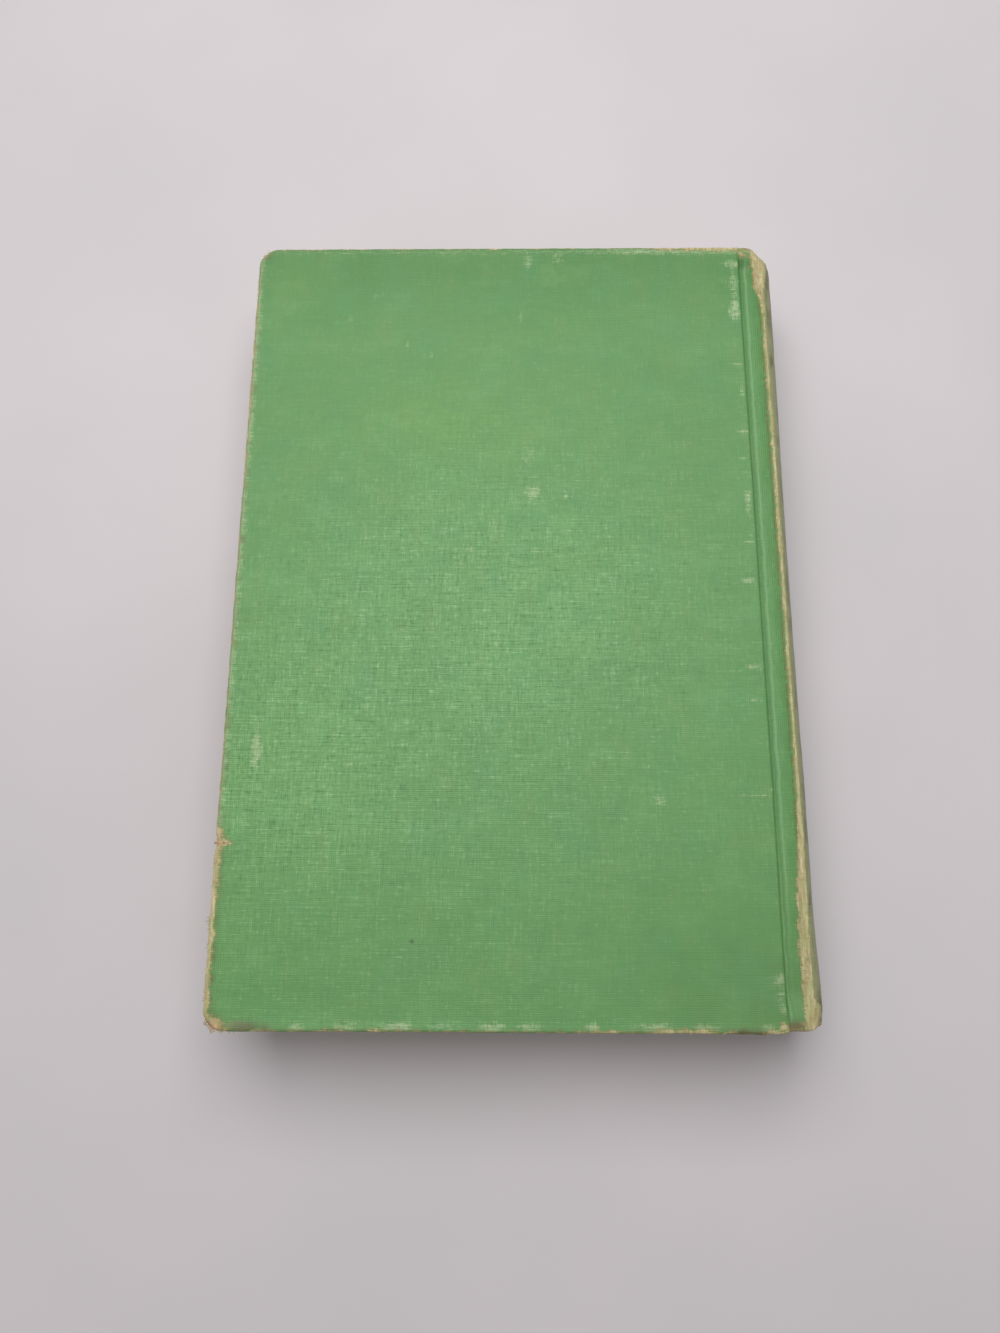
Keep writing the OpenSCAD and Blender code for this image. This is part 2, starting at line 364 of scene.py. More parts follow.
def thicken(piece, thickness):
    """Gives a surface a wall that lies on the inner side of it."""
    wall = piece.modifiers.new("wall", "SOLIDIFY")
    wall.thickness = thickness * MM
    wall.offset = -1
    wall.use_rim = True


# %% [markdown]
# The section has its own numbers, in mm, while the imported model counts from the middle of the
# book. One function moves every grid there. The book is the same above and below the middle of
# its leaves, so a second one makes the lower twin of a grid.

# %% From the section to the model's frame


def to_frame(x, y, z):
    """Points of the section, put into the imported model's frame: x less the middle of the book,
    and z plus the middle of the leaves."""
    x, y, z = np.broadcast_arrays(x, y, z)
    return np.stack([x - MID_X, y, z + MID_Z], axis=-1)


def mirrored(points, side):
    """The points themselves for side 1, or their mirror image in the middle of the leaves."""
    points = points.copy()
    points[..., 2] = MID_Z + side * (points[..., 2] - MID_Z)
    return points


print("round of the leaves in the frame, mm:", to_frame(SPINE_CENTRE_X + SPINE_R, 0, 0).round(2))

# %% [markdown]
# ## The shape of the case cloth
# One piece of cloth wraps both boards and the spine. It is glued over the boards, pressed into
# the joints, and turned in by 15 mm along every edge. Only two bodies may share a piece that
# bends, so it is made as two halves that meet on the middle of the spine, which never moves.
#
# Each half has a face grid, and a band that carries the rounded edge and the turned-in strip
# along the tail, the fore edge and the head.

# %% Section of the cloth
JOINT_FINE = (3.4, 16.5)  # close stations start this far before the joint, for this far
START_U = 4.8  # the first station's distance from the fore edge, along the cloth
BOARD_BEVEL = 0.25  # the cloth leaves the board this far past its edge
KINK_REACH = 0.34  # how wide the kinks are rubbed round
CREST_SIDE_X = 137.0  # the crest lies beyond this
CREASE_SIDE_X = 137.5  # the crease lies before this


def case_section(away, away_spine, level):
    """The cloth's line across the book: over the board at one level, down at the joint, then over
    shoulder, crest and spine at the given distances from the leaves."""
    corner = [BOARD_W + BOARD_BEVEL, level]
    joint = shoulder_line(away)
    return np.concatenate([
        straight([EDGE_X + CORNER_R, level], corner, 120),
        straight(corner, joint[0], 16),
        joint,
        crest_line(away, away_spine)[1:],
        spine_line(away_spine)[1:],
    ])


outer_line = case_section(*OUTER_AWAY, COVER_TOP)
inner_line = case_section(*INNER_AWAY, COVER_IN)
section_at, (outer_fine, inner_fine) = eased([outer_line, inner_line], KINK_REACH)
fold_at = BOARD_W - CORNER_R - JOINT_FINE[0]
across = np.concatenate([
    np.linspace(0, fold_at, 92, endpoint=False),
    np.linspace(fold_at, fold_at + JOINT_FINE[1], 50, endpoint=False),
    np.linspace(fold_at + JOINT_FINE[1], section_at[-1], 17),
])
line_x, line_z = outer_fine.T
CREASE_U = START_U + section_at[np.argmin(np.where(line_x < CREASE_SIDE_X, line_z, 99))]
CREST_U = START_U + section_at[np.argmax(np.where(line_x > CREST_SIDE_X, line_z, 0))]
SPINE_MID_U = section_at[-1] + START_U
print("cloth from fore edge to mid-spine, mm:", round(SPINE_MID_U, 1))
print("crease and crest along the cloth, mm:", round(CREASE_U, 1), round(CREST_U, 1))

# %% [markdown]
# The band's own section is a small hairpin: round the edge of the board, down its side, round
# again, and back along the inside. It is carried once round three sides of the cover. At the
# corners the turned-in strips meet in a mitre, a slanting cut, so the strip gets shorter there.

# %% The band's section
TURN_IN = 15.0
MITRE_GAP = 0.12  # the turned-in strips stop this far before the slanting cut
EDGE_SOFT = 0.62  # radius of the cloth where it goes round the board's edge


def band_profile(deep, run):
    """The band's own section at each station: along the face, round the edge, down the wall,
    round again, and back along the turned-in run. Gives the distance out, the share of the depth,
    and the distance along the cloth."""
    deep = deep[:, None]
    soft = np.minimum(EDGE_SOFT, 0.46 * deep)
    turn = np.radians(np.linspace(0, 90, 6))[None]
    face = (CORNER_R - soft) * np.linspace(0, 1, 6)[None, :-1]
    first_out = CORNER_R - soft + soft * np.sin(turn)
    first_down = soft * (1 - np.cos(turn))
    wall = np.array([0.35, 0.65])[None]
    wall_down = soft + (deep - 2 * soft) * wall
    last_out = CORNER_R - soft + soft * np.cos(turn)
    last_down = deep - soft + soft * np.sin(turn)
    back = np.array([0.1, 0.22, 0.36, 0.6, 1.0])[None]
    back_out = CORNER_R - soft - (run[:, None] - soft) * back
    out = np.concatenate([
        face, first_out, CORNER_R + 0 * wall_down, last_out, back_out,
    ], axis=1)
    down = np.concatenate([
        0 * face, first_down, wall_down, last_down, deep + 0 * back_out,
    ], axis=1)
    steps = np.hypot(np.diff(out, axis=1), np.diff(down, axis=1))
    along = np.concatenate([0 * deep, np.cumsum(steps, axis=1)], axis=1)
    return out, down / deep, along


cover_deep = np.array([COVER_TOP - COVER_IN])
print("cloth across the band, mm:", band_profile(cover_deep, np.array([TURN_IN]))[2].max().round(1))

# %% [markdown]
# Both grids of the cloth remember more than their points. u and v are the place on the flat
# cloth, e is the distance past the cover's edge, and (nx, nz) is the outward direction, which
# fades to nothing on the inside. The dents, the wear and the finish all read these.

# %% Face and band of the cloth


def face_grid(top, normal, u, v):
    """The flat of the cloth: the section's stations, repeated at each v from tail to head."""
    shape = (len(v), len(u))
    spread = np.broadcast_to
    face = {
        "x": spread(top[:, 0], shape),
        "y": spread(v[:, None], shape),
        "z": spread(top[:, 1], shape),
        "nx": spread(normal[:, 0], shape),
        "nz": spread(normal[:, 1], shape),
        "u": spread(u, shape),
        "v": spread(v[:, None], shape),
    }
    face["e"] = -np.minimum(HALF_H - abs(face["v"]), face["u"] - EDGE_X)
    return face


def band_grid(top, under, normal, u, v):
    """The band, carried along the tail from spine to corner, up the fore edge, and along the head
    back to the spine: base point, plus a share of the depth, plus out times (out_x, out_y)."""
    inner_v = v[-1]
    arc = np.radians(np.linspace(0, 90, 12)[1:-1])
    corner_top = np.tile(top[:1], (len(arc), 1))
    corner_under = np.tile(under[:1], (len(arc), 1))
    fore_top = np.tile(top[:1], (len(v), 1))
    fore_under = np.tile(under[:1], (len(v), 1))
    back = slice(None, None, -1)
    base = np.concatenate([top[back], corner_top, fore_top, corner_top, top])
    below = np.concatenate([under[back], corner_under, fore_under, corner_under, under])
    base_y = np.concatenate([
        0 * u - inner_v, 0 * arc - inner_v, v, 0 * arc + inner_v, 0 * u + inner_v,
    ])
    base_u = np.concatenate([u[back], np.full(2 * len(arc) + len(v), START_U), u])
    out_x = np.concatenate([0 * u, -np.sin(arc), 0 * v - 1, -np.cos(arc), 0 * u])
    out_y = np.concatenate([0 * u - 1, -np.cos(arc), 0 * v, np.sin(arc), 0 * u + 1])
    to_mitre = np.where(abs(out_y) == 1, base_u - EDGE_X, HALF_H - abs(base_y)) - MITRE_GAP
    run = np.minimum(TURN_IN, to_mitre)
    run[(out_x != 0) & (out_y != 0)] = CORNER_R
    deep = np.linalg.norm(base - below, axis=1)
    out, share, along = band_profile(deep, run)
    column = (slice(None), None)
    shift = (below - base)[:, None, :] * share[:, :, None]
    band = {
        "x": base[:, 0][column] + shift[:, :, 0] + out_x[column] * out,
        "y": base_y[column] + out_y[column] * out,
        "z": base[:, 1][column] + shift[:, :, 1],
        "u": base_u[column] + out_x[column] * along,
        "v": base_y[column] + out_y[column] * along,
        "e": along - CORNER_R,
    }
    lift = np.concatenate([normal[back], np.tile([[0, 1]], (len(v) + 2 * len(arc), 1)), normal])
    band["nx"] = lift[:, 0][column] * (1 - share)
    band["nz"] = lift[:, 1][column] * (1 - share)
    return band


def case_grids():
    """Both grids of one half of the case cloth, in section millimetres, with z counted outward."""
    top, normal = stations(section_at, outer_fine, across)
    under, _ = stations(section_at, inner_fine, across)
    u = across + START_U
    v = np.linspace(CORNER_R - HALF_H, HALF_H - CORNER_R, 191)
    return [face_grid(top, normal, u, v), band_grid(top, under, normal, u, v)]


half_case = case_grids()
print("points in half of the case cloth:", sum(grid["u"].size for grid in half_case))

# %% [markdown]
# ## Dents, rubs and wear of the cloth
# Wear follows use. A shelved book stands on its tail edge and is pulled out by its spine, so the tail
# edge, the corners and the ridge beside the joint lose their colour first, and the bare threads show
# tan. Each field below is an array that says how worn, rubbed or soiled the cloth is at each point. Two
# of them also carry painted light: a painted sheen that lightens the cover, and painted shade in one
# hollow. The places were read off the photograph, in mm from the middle of the cover. The finish later
# breaks the fields up with thread-sized detail.

# %% Marks, the ridge and the spine


def mark(x, y, place, size, turn=0.0):
    """Soft oval patch: a bell of the distance from its place, each axis divided by its size."""
    angle = math.radians(turn)
    dx = x - place[0]
    dy = y - place[1]
    along = dx * math.cos(angle) + dy * math.sin(angle)
    beside = dy * math.cos(angle) - dx * math.sin(angle)
    return np.exp(-(along / size[0]) ** 2 - (beside / size[1]) ** 2)


def spine_soil(u, v):
    """Grime of the spine: patches beside the crest that thin out towards the middle."""
    side = ramp(u, CREST_U + 0.5, CREST_U + 1.6)
    fade = ramp(u, CREST_U + 10, CREST_U + 4)
    return side * (0.1 + 0.6 * fade * np.maximum(soft_noise(u / 2.0, v / 3.0, 14) + 0.25, 0))


def ridge_wear(u, v):
    """Bare threads along the ridge beside the joint: a band whose left and right borders are
    measured from the crest, wide at the head corner and wide again in the lower fifth."""
    left = 0.3 + 0.9 * ramp(v, 83, 90) + 1.0 * ramp(v, 88, 95) + 0.8 * ramp(v, 97, 102)
    left += 0.55 * ramp(v, -48, -58) + 1.0 * ramp(v, -60, -70) + 0.5 * ramp(v, -70, -82)
    left += 0.22 * soft_noise(u * 0, v / 2.3, 10) + 0.15 * soft_noise(u * 0, v / 0.9, 11)
    right = 0.55 + 1.5 * ramp(v, 90, 98) + 0.4 * bell(v + 60, 6) - 0.15 * ramp(v, -70, -80)
    right += 3.2 * ramp(v, -96.5, -101) + 0.12 * soft_noise(u * 0, v / 1.6, 12)
    beside = CREST_U - u
    soft = 0.5 + 0.7 * ramp(abs(v), 52, 62)
    inner = ramp(beside, left + 1.1 * soft, left - 0.7 * soft)
    return inner * ramp(-beside, right + 0.7, right - 0.4)


crest_v = np.linspace(-100, 100, 9)
print("wear on the crest, tail to head:", ridge_wear(CREST_U + 0 * crest_v, crest_v).round(2))

# %% [markdown]
# Each edge of the upper cover has a story of its own. Threads wear through on the very edge, in a
# border whose width flutters. Beside them runs a paler fringe, and grime settles in between.

# %% Edges of the upper cover


def fore_edge_wear(u, v, e):
    """Worn, pale and soiled shares along the fore edge: small ticks above, and one long rub in
    the lower fifth, which is about three times as wide."""
    flutter = soft_noise(u / 0.9, v / 0.9, 5)
    near = np.maximum(-e, 0)
    past = np.maximum(e, 0)
    fore = ramp(u - MID_X, -69, -71.5) * ramp(104 - abs(v), -2, 1)
    long_rub = ramp(v, -104, -99) * ramp(v, -57.2, -59.2)
    frayed = ramp(v, 34, 46) * ramp(v, 95, 82)
    ticks = np.maximum(soft_noise(u * 0, v / 1.3, 17) - 0.25, 0)
    width = 0.5 + 0.25 * flutter + 0.3 * frayed + (0.5 + 1.3 * long_rub) * ticks
    width = width + long_rub * (0.8 + 0.7 * ramp(v, -74, -64))
    share = 0.58 + 0.47 * long_rub + 0.1 * frayed + 0.25 * soft_noise(u * 0, v / 2.1, 7)
    worn = fore * np.minimum(share, 1.0) * bell(near, np.maximum(width, 0.35)) * bell(past, 2.2)
    fringe = fore * (0.85 + 0.25 * frayed) * bell(near - 0.6, 1.0) * (1 - long_rub)
    grime = fore * (0.3 + 0.5 * ticks) * bell(near - 0.2, 0.7) * (1 - long_rub)
    grime += fore * 0.4 * np.maximum(soft_noise(u * 0, v / 1.3, 27) + 0.3, 0) * bell(near - 1.4, 0.8)
    grime += fore * long_rub * 0.45 * bell(near - 2.0, 0.7)
    return worn, fringe, grime


def head_edge_wear(u, v, e):
    """The same along the head: little on the left, and dashes of grime to the right of x = 34."""
    x = u - MID_X
    near = np.maximum(-e, 0)
    head = ramp(v, 101.5, 103.5)
    share = 0.42 + 0.28 * soft_noise(u / 2.2, v * 0, 8) + 0.34 * ramp(x, 34, 42)
    width = 0.7 + 0.25 * soft_noise(u / 0.9, v / 0.9, 5) + 0.7 * ramp(x, 36, 46)
    worn = head * share * bell(near, width) * bell(np.maximum(e, 0), 1.6)
    fringe = head * (0.3 + 0.55 * ramp(x, 10, 44)) * bell(near - 1.3, 1.3)
    dashes = np.maximum(soft_noise(u / 1.9, v * 0, 28) + 0.1, 0)
    grime = head * bell(near, 0.9) * (0.3 + 0.9 * ramp(x, 34, 42) * dashes)
    return worn, fringe, grime


def tail_edge_wear(u, v, e):
    """The same along the tail, on which the book stood: barer at x = 12 to 24 and 30 to 47."""
    x = u - MID_X
    near = np.maximum(-e, 0)
    tail = ramp(-v, 101.5, 103.5)
    bare = ramp(x, 30, 33) * ramp(x, 47, 44) + 0.6 * ramp(x, 12, 14) * ramp(x, 24, 22)
    share = 0.45 + 0.25 * soft_noise(u / 1.7, v * 0, 9) + 0.3 * bare + 0.25 * ramp(x, 57, 60)
    width = 0.7 + 0.35 * soft_noise(u / 0.9, v / 0.9, 5) + 0.5 * bare + 0.6 * ramp(x, 57, 60)
    worn = tail * share * bell(near, width) * bell(np.maximum(e, 0), 2.4)
    fringe = tail * 0.85 * bell(near - 1.1, 1.4) * np.maximum(soft_noise(u / 3.1, v * 0, 19) + 0.5, 0)
    grime = tail * bell(near, 0.9) * (0.28 + 0.5 * ramp(x, 46, 49) * ramp(x, 60, 57))
    grime += tail * 0.5 * bell(near - 0.3, 0.8) * np.maximum(soft_noise(u / 1.3, v * 0, 20) - 0.1, 0)
    return worn, fringe, grime


edge_v = np.linspace(-98, 98, 9)
edge_worn = fore_edge_wear(0 * edge_v, edge_v, 0 * edge_v)[0]
print("wear on the fore edge, tail to head:", edge_worn.round(2))

# %% [markdown]
# The whole cover adds single marks to its edges: the four corners, the nick in the fore edge, the caps,
# and the slow drift of the colour, which is yellower in three places. A painted sheen lightens the
# colour in the middle, on the lower left and towards the tail, and leaves it darker at the head and in
# the lower right. One soil mark also holds painted shade. The hidden cover isn't in the photograph, so
# it is worn evenly and has no marks.

# %% Wear of both covers
WORN_MARKS = [
    (1.05, (-72.2, -61.9), (3.6, 1.0)),
    (0.8, (61.4, -103.6), (1.3, 1.1)),
    (0.62, (64.6, 102.8), (2.6, 1.4)),
]
SOIL_AND_SHADE_MARKS = [
    (0.75, (-63.0, -103.8), (6.0, 1.3)),
    # This mark, in the hollow at the tail end of the joint, is brown torn cloth and painted shade of
    # that hollow.
    (1.1, (65.6, -104.0), (2.3, 1.2)),
    (0.5, (-70.6, -102.2), (2.2, 1.6)),
    (0.45, (-70.4, 102.4), (1.4, 1.4)),
    (0.3, (64.6, 101.0), (1.3, 1.6)),
]
YELLOW_MARKS = [
    (0.9, (-16.7, 51), (30, 13)),
    (0.35, (-60, 92), (8, 10)),
    (0.35, (-58, -48), (26, 34)),
]


def back_worn(u, v, e, worn):
    """Worn share of the upper cover: the largest of its edges, corners, marks, ridge and caps."""
    x = u - MID_X
    flutter = soft_noise(u / 0.9, v / 0.9, 5)
    worn = np.maximum(worn, 0.62 * mark(x, v, (-71.2, 103.4), (2.8, 2.2), 45) * bell(e, 1.2))
    worn = np.maximum(worn, 1.5 * mark(x, v, (-72.0, -104.4), (4.2, 2.5)) * (1 + 0.35 * flutter))
    for share, place, size in WORN_MARKS:
        worn = np.maximum(worn, share * mark(x, v, place, size))
    patchy = 0.2 * soft_noise(u / 0.8, v / 1.4, 18) * ramp(abs(v), 50, 62)
    drift = soft_noise(u / 9, v / 9, 6)
    worn = np.maximum(worn, (0.76 + 0.1 * drift + patchy) * ridge_wear(u, v))
    cap = ramp(abs(v), 101.6, 103.8) * ramp(u, CREST_U - 2.8, CREST_U - 0.5)
    return np.maximum(worn, cap * (0.78 + 0.25 * flutter) * bell(np.maximum(e, 0), 3.0))


def back_wear(u, v, e):
    """Worn, rubbed, soiled and yellowed shares of the upper cover and half of the spine, with the share
    of painted sheen, and painted shade in one soil mark.
    """
    x = u - MID_X
    edges = zip(fore_edge_wear(u, v, e), head_edge_wear(u, v, e), tail_edge_wear(u, v, e))
    worn, rubbed, soil_and_shade = edges
    worn = back_worn(u, v, e, np.maximum.reduce(worn))
    lane = ramp(x, 50, 60) * ramp(x, 63.2, 61.8)
    rubbed = sum(rubbed) + 0.3 * lane * np.maximum(soft_noise(u / 3.0, v / 0.5, 13) - 0.25, 0)
    soil_and_shade = sum(soil_and_shade) + spine_soil(u, v)
    soil_and_shade += sum(share * mark(x, v, place, size) for share, place, size in SOIL_AND_SHADE_MARKS)
    soil_and_shade += 0.2 * ramp(-v, 60, 98) * ramp(x, 10, 62) * ramp(u, CREST_U, CREST_U - 2)
    # Painted sheen: lighter in the middle, on the lower left and towards the tail, darker at the head
    # and in the lower right.
    pale_sheen = 0.5 * ramp(v, 103, 76) + 0.71 * mark(x, v, (-9, -6), (60, 46))
    pale_sheen += 0.55 * mark(x, v, (-64, -43), (36, 28)) + 0.19 * ramp(-v, 30, 80)
    pale_sheen -= 0.34 * ramp(x, 0, 55) * ramp(-v, 55, 95)
    yellow = sum(share * mark(x, v, place, size) for share, place, size in YELLOW_MARKS)
    return worn, rubbed, soil_and_shade, pale_sheen, yellow


def front_wear(u, v, e):
    """The hidden lower cover is worn plainly: its edges, corners and ridge, and no marks."""
    x = u - MID_X
    flutter = soft_noise(u / 1.4, v / 1.4, 21)
    drift = soft_noise(u / 11, v / 11, 22)
    near = np.maximum(-e, 0)
    past = np.maximum(e, 0)
    share = 0.5 + 0.2 * drift + 0.2 * soft_noise(u / 3.3, v / 3.3, 23)
    worn = share * bell(near, 0.6 + 0.2 * flutter) * bell(past, 2.0)
    for end in (-1, 1):
        worn = np.maximum(worn, 0.95 * mark(x, v, (-72.3, end * 104.3), (3.0, 3.0)))
    fray = 0.2 * soft_noise(u * 0.4, v / 0.45, 24)
    worn = np.maximum(worn, (0.7 + 0.15 * drift + fray) * bell(u - CREST_U, 0.7))
    cap = ramp(abs(v), 101.0, 103.6) * ramp(u, CREST_U - 2.5, CREST_U)
    worn = np.maximum(worn, cap * (0.75 + 0.3 * flutter) * bell(past, 3.0))
    rubbed = 0.35 * np.maximum(soft_noise(u / 14, v / 10, 25) - 0.45, 0)
    soil_and_shade = 0.12 + 0.12 * drift + spine_soil(u, v)
    # Painted sheen: lighter in the middle of the hidden cover.
    pale_sheen = 0.5 + 0.3 * mark(x, v, (0, 0), (55, 70))
    return worn, rubbed, soil_and_shade, pale_sheen, 0 * u


print("marks on the upper cover:", len(WORN_MARKS) + len(SOIL_AND_SHADE_MARKS) + len(YELLOW_MARKS) + 2)

# %% [markdown]
# The cap is the end of the spine, where the cloth is turned in over the card. Fingers pull a book
# off the shelf by its cap, so its corners beside the shoulders are crushed inward. At both ends
# of the joint the turned-in cloth is stiff and bridges the groove, so the groove runs out there.

# %% Caps and joint ends


def cap_drop(u, end):
    """How far the end of the spine stands back, in mm: a plateau over the joint, and a bell on
    the crushed corner, which is wider on the spine's side."""
    beyond = u - CREST_U
    if end > 0:
        reach = np.where(beyond < 1.1, 2.3, 5.0)
        return 0.5 * ramp(beyond, -5, -1.5) + 2.8 * bell(beyond - 1.1, reach)
    reach = np.where(beyond < 4.5, 3.0, 5.0)
    return 0.75 * ramp(beyond, -12, -5) + 2.3 * bell(beyond - 4.5, reach)


def shape_caps(points, u):
    """Shifts the last 10 mm at head and tail towards the middle by the cap's drop."""
    head = ramp(points[..., 1], 95, 105)
    tail = ramp(-points[..., 1], 95, 105)
    points = points.copy()
    points[..., 1] += tail * cap_drop(u, -1) - head * cap_drop(u, 1)
    return points


def joint_bridge(grid):
    """How far the cloth stands up out of the groove near head and tail, in mm."""
    near_end = np.maximum(ramp(grid["y"], 98.5, 102.5), ramp(-grid["y"], 95.5, 102.0))
    over = ramp(grid["u"], BOARD_W - 0.2, BOARD_W + 0.8) * ramp(grid["u"], CREST_U + 0.5, CREST_U - 2.5)
    room = np.maximum(COVER_TOP - 0.2 - grid["z"], 0)
    return 0.92 * near_end * over * room * np.hypot(grid["nx"], grid["nz"])


drops = [round(float(cap_drop(CREST_U, end)), 2) for end in (1, -1)]
print("the crest stands back at head and tail by, mm:", drops)

# %% [markdown]
# Old cloth is never quite flat. Slow waves lift it off the board, the edges are crumpled, and each
# corner has had its knocks. All of this moves the points of the mesh, so that it also shows in the
# outline, and it fades to nothing at the middle of the spine, where the two halves have to meet.

# %% Waves, nibbles and knocks


def press(points, place, push, reach):
    """Moves the points near a place by the push, faded with a bell of the distance to it."""
    apart = (points - np.array(place)) / np.array(reach)
    share = np.exp(-(apart ** 2).sum(axis=-1))[..., None]
    return points + share * np.array(push)


def cloth_rise(grid, seed):
    """How far the cloth stands off its section, in mm: slow waves, less a little, then a crumple
    along the edges, a rough shoulder, and a swell of the spine near head and tail."""
    u = grid["u"]
    v = grid["v"]
    e = grid["e"]
    wave = 0.09 * soft_noise(u / 24, v / 24, seed) + 0.04 * soft_noise(u / 8, v / 8, seed + 1)
    crumple = 0.05 * soft_noise(u / 1.7, v / 1.7, seed + 2)
    rise = (wave - 0.13) * ramp(-e, 0.2, 2.5) + crumple * bell(e, 3.0) * 0.8
    rise += 0.05 * soft_noise(u / 1.1, v / 3.0, seed + 3) * ramp(u, CREASE_U, CREASE_U + 2)
    swell = 0.62 * ramp(v, 20, 88) * ramp(v, 105, 101) + 0.55 * ramp(v, -78, -97) * ramp(v, -105, -101)
    rise += swell * ramp(u, CREST_U + 0.6, CREST_U + 3.4)
    rise *= np.hypot(grid["nx"], grid["nz"])
    return rise * ramp(SPINE_MID_U - u, 0, 4)


def nibbled(points, grid, seed):
    """Makes the cover's outline uneven: points near an edge move along the axis that faces it."""
    u = grid["u"]
    v = grid["v"]
    fade = bell(grid["e"] - 1.0, 2.5)
    nibble = 0.10 * soft_noise(u / 2.3, v / 2.3, seed) * fade
    nibble += 0.06 * soft_noise(u / 0.9, v / 0.9, seed + 1) * fade
    lean = (points - np.array([0, 0, MID_Z])) * np.array([1 / HALF_W, 1 / HALF_H, 0])
    lean = np.sign(lean) * (abs(lean) > 0.93)
    flat = ramp(u, CREASE_U - 1, CREASE_U - 3)[..., None]
    return points + lean * (nibble - 0.1)[..., None] * flat


face_rise = cloth_rise(half_case[0], 31)
print("the face is uneven from", face_rise.min().round(2), "to", face_rise.max().round(2), "mm")

# %% [markdown]
# ## Both halves of the case cloth
# The same grids serve twice. The lower half is the upper one mirrored in the middle of the leaves, with
# its own noise, wear and knocks. A knock is a place, a push and a reach, all in mm.

# %% Case cloth
CLOTH_WALL = 0.34
back_knocks = [
    ((-73.0, -61.9, 29.6), (1.3, 0.1, -0.7), (1.6, 0.9, 2.4)),
    ((-73.2, -105.2, 29.0), (0.1, 0.1, -0.5), (2.6, 2.2, 3.0)),
    ((-73.0, 105.0, 29.5), (0.1, -0.1, -0.4), (3.0, 3.0, 2.5)),
    ((70.0, -104.0, 28.5), (-0.2, 0.0, -0.5), (2.4, 2.8, 3.0)),
    ((70.0, 103.5, 29.0), (-0.3, 0.0, -0.6), (2.6, 3.0, 3.0)),
]
front_knocks = [
    ((-73.0, -105.0, 29.5), (0.5, 0.4, -0.5), (2.8, 2.8, 2.5)),
    ((-73.0, 105.0, 29.5), (0.4, -0.4, -0.4), (3.0, 3.0, 2.5)),
    ((70.0, -104.0, 28.5), (-0.3, 0.0, -0.5), (2.4, 2.8, 3.0)),
    ((70.0, 104.0, 29.0), (-0.2, 0.0, -0.5), (2.6, 3.0, 3.0)),
]


def case_cloth(name, side, wear, seed, knocks):
    """One half of the case cloth, with its dents and its wear. Side is 1 for the upper half and
    -1 for the lower. Past the middle of the spine the place on the cloth counts on."""
    made = []
    for grid in half_case:
        u = grid["u"]
        v = grid["v"]
        rise = cloth_rise(grid, seed)
        height = grid["z"] + grid["nz"] * rise + joint_bridge(grid)
        points = shape_caps(to_frame(grid["x"] + grid["nx"] * rise, grid["y"], height), u)
        points = nibbled(points, grid, seed + 4)
        for place, push, reach in knocks:
            points = press(points, place, push, reach)
        worn, rubbed, soil_and_shade, pale_sheen, yellow = wear(u, v, grid["e"])
        on_cloth = u if side > 0 else 2 * SPINE_MID_U - u
        facts = {
            "cloth_mm": np.stack([on_cloth, v, 0 * u], axis=-1),
            "aged": ramp(u, CREST_U - 0.3, CREST_U + 0.7),
            "worn": np.clip(worn, 0, 1.5),
            "rubbed": np.clip(rubbed, 0, 1),
            "soil_and_shade": np.clip(soil_and_shade, 0, 1),
            "pale_sheen": np.clip(pale_sheen, 0, 1.6),
            "yellow": np.clip(yellow, 0, 1),
        }
        made.append((mirrored(points, side), facts))
    piece = make_piece(name, made)
    thicken(piece, CLOTH_WALL)
    return piece


back_case_cloth = case_cloth("back_case_cloth", 1, back_wear, 31, back_knocks)
front_case_cloth = case_cloth("front_case_cloth", -1, front_wear, 51, front_knocks)
for cloth, cover in ((back_case_cloth, "back_cover"), (front_case_cloth, "front_cover")):
    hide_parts(cover + "_cloth", "spine_cloth")
    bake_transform(cloth)

# %% [markdown]
# ## Frayed threads
# Where the edge is worn through, loose threads stand out of it. Each is a thin tube along a curve,
# and it has the same finish as the cloth, at its most worn. Its root stays inside the cloth, so
# no thread hangs in the air.

# %% Frayed threads
ROOT = 0.9


def frayed_threads(name, tufts, body, seed):
    """Tubes round start + length * (t * direction + bend * t^2 * sideways), with t from 0 to 1.
    A tuft is (place, spread along the edge, count, direction in degrees, length)."""
    chance = np.random.default_rng(seed)
    t = np.linspace(0, 1, 7)[:, None, None]
    turn = np.radians(np.linspace(0, 360, 5, endpoint=False))[None, :, None]
    up = np.array([0, 0, 1.0])
    made = []
    for place, spread, count, heading, length in tufts:
        for _ in range(count):
            angle = math.radians(heading + chance.uniform(-38, 38))
            ahead = np.array([math.cos(angle), math.sin(angle), chance.uniform(-0.25, 0.15)])
            aside = np.array([-math.sin(angle), math.cos(angle), 0])
            edge = np.radians(heading) + np.pi / 2
            shift = chance.uniform(-spread, spread)
            start = np.array(place) + shift * np.array([math.cos(edge), math.sin(edge), 0])
            start = start - ROOT * ahead
            reach = ROOT + length * chance.uniform(0.4, 1.0)
            path = start + reach * (t * ahead + chance.uniform(-0.6, 0.6) * t ** 2 * aside)
            radius = chance.uniform(0.09, 0.15) * np.sqrt(1 - abs(2 * t - 1) ** 6)
            points = path + radius * (np.cos(turn) * aside + np.sin(turn) * up)
            level = np.ones(points.shape[:2])
            facts = {
                "cloth_mm": np.stack([points[..., 0] + MID_X, points[..., 1], 0 * level], axis=-1),
                "worn": level * chance.uniform(0.8, 1.05),
            }
            made.append((points, facts))
    frays = make_piece(name, made, closed=True)
    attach(frays, body)


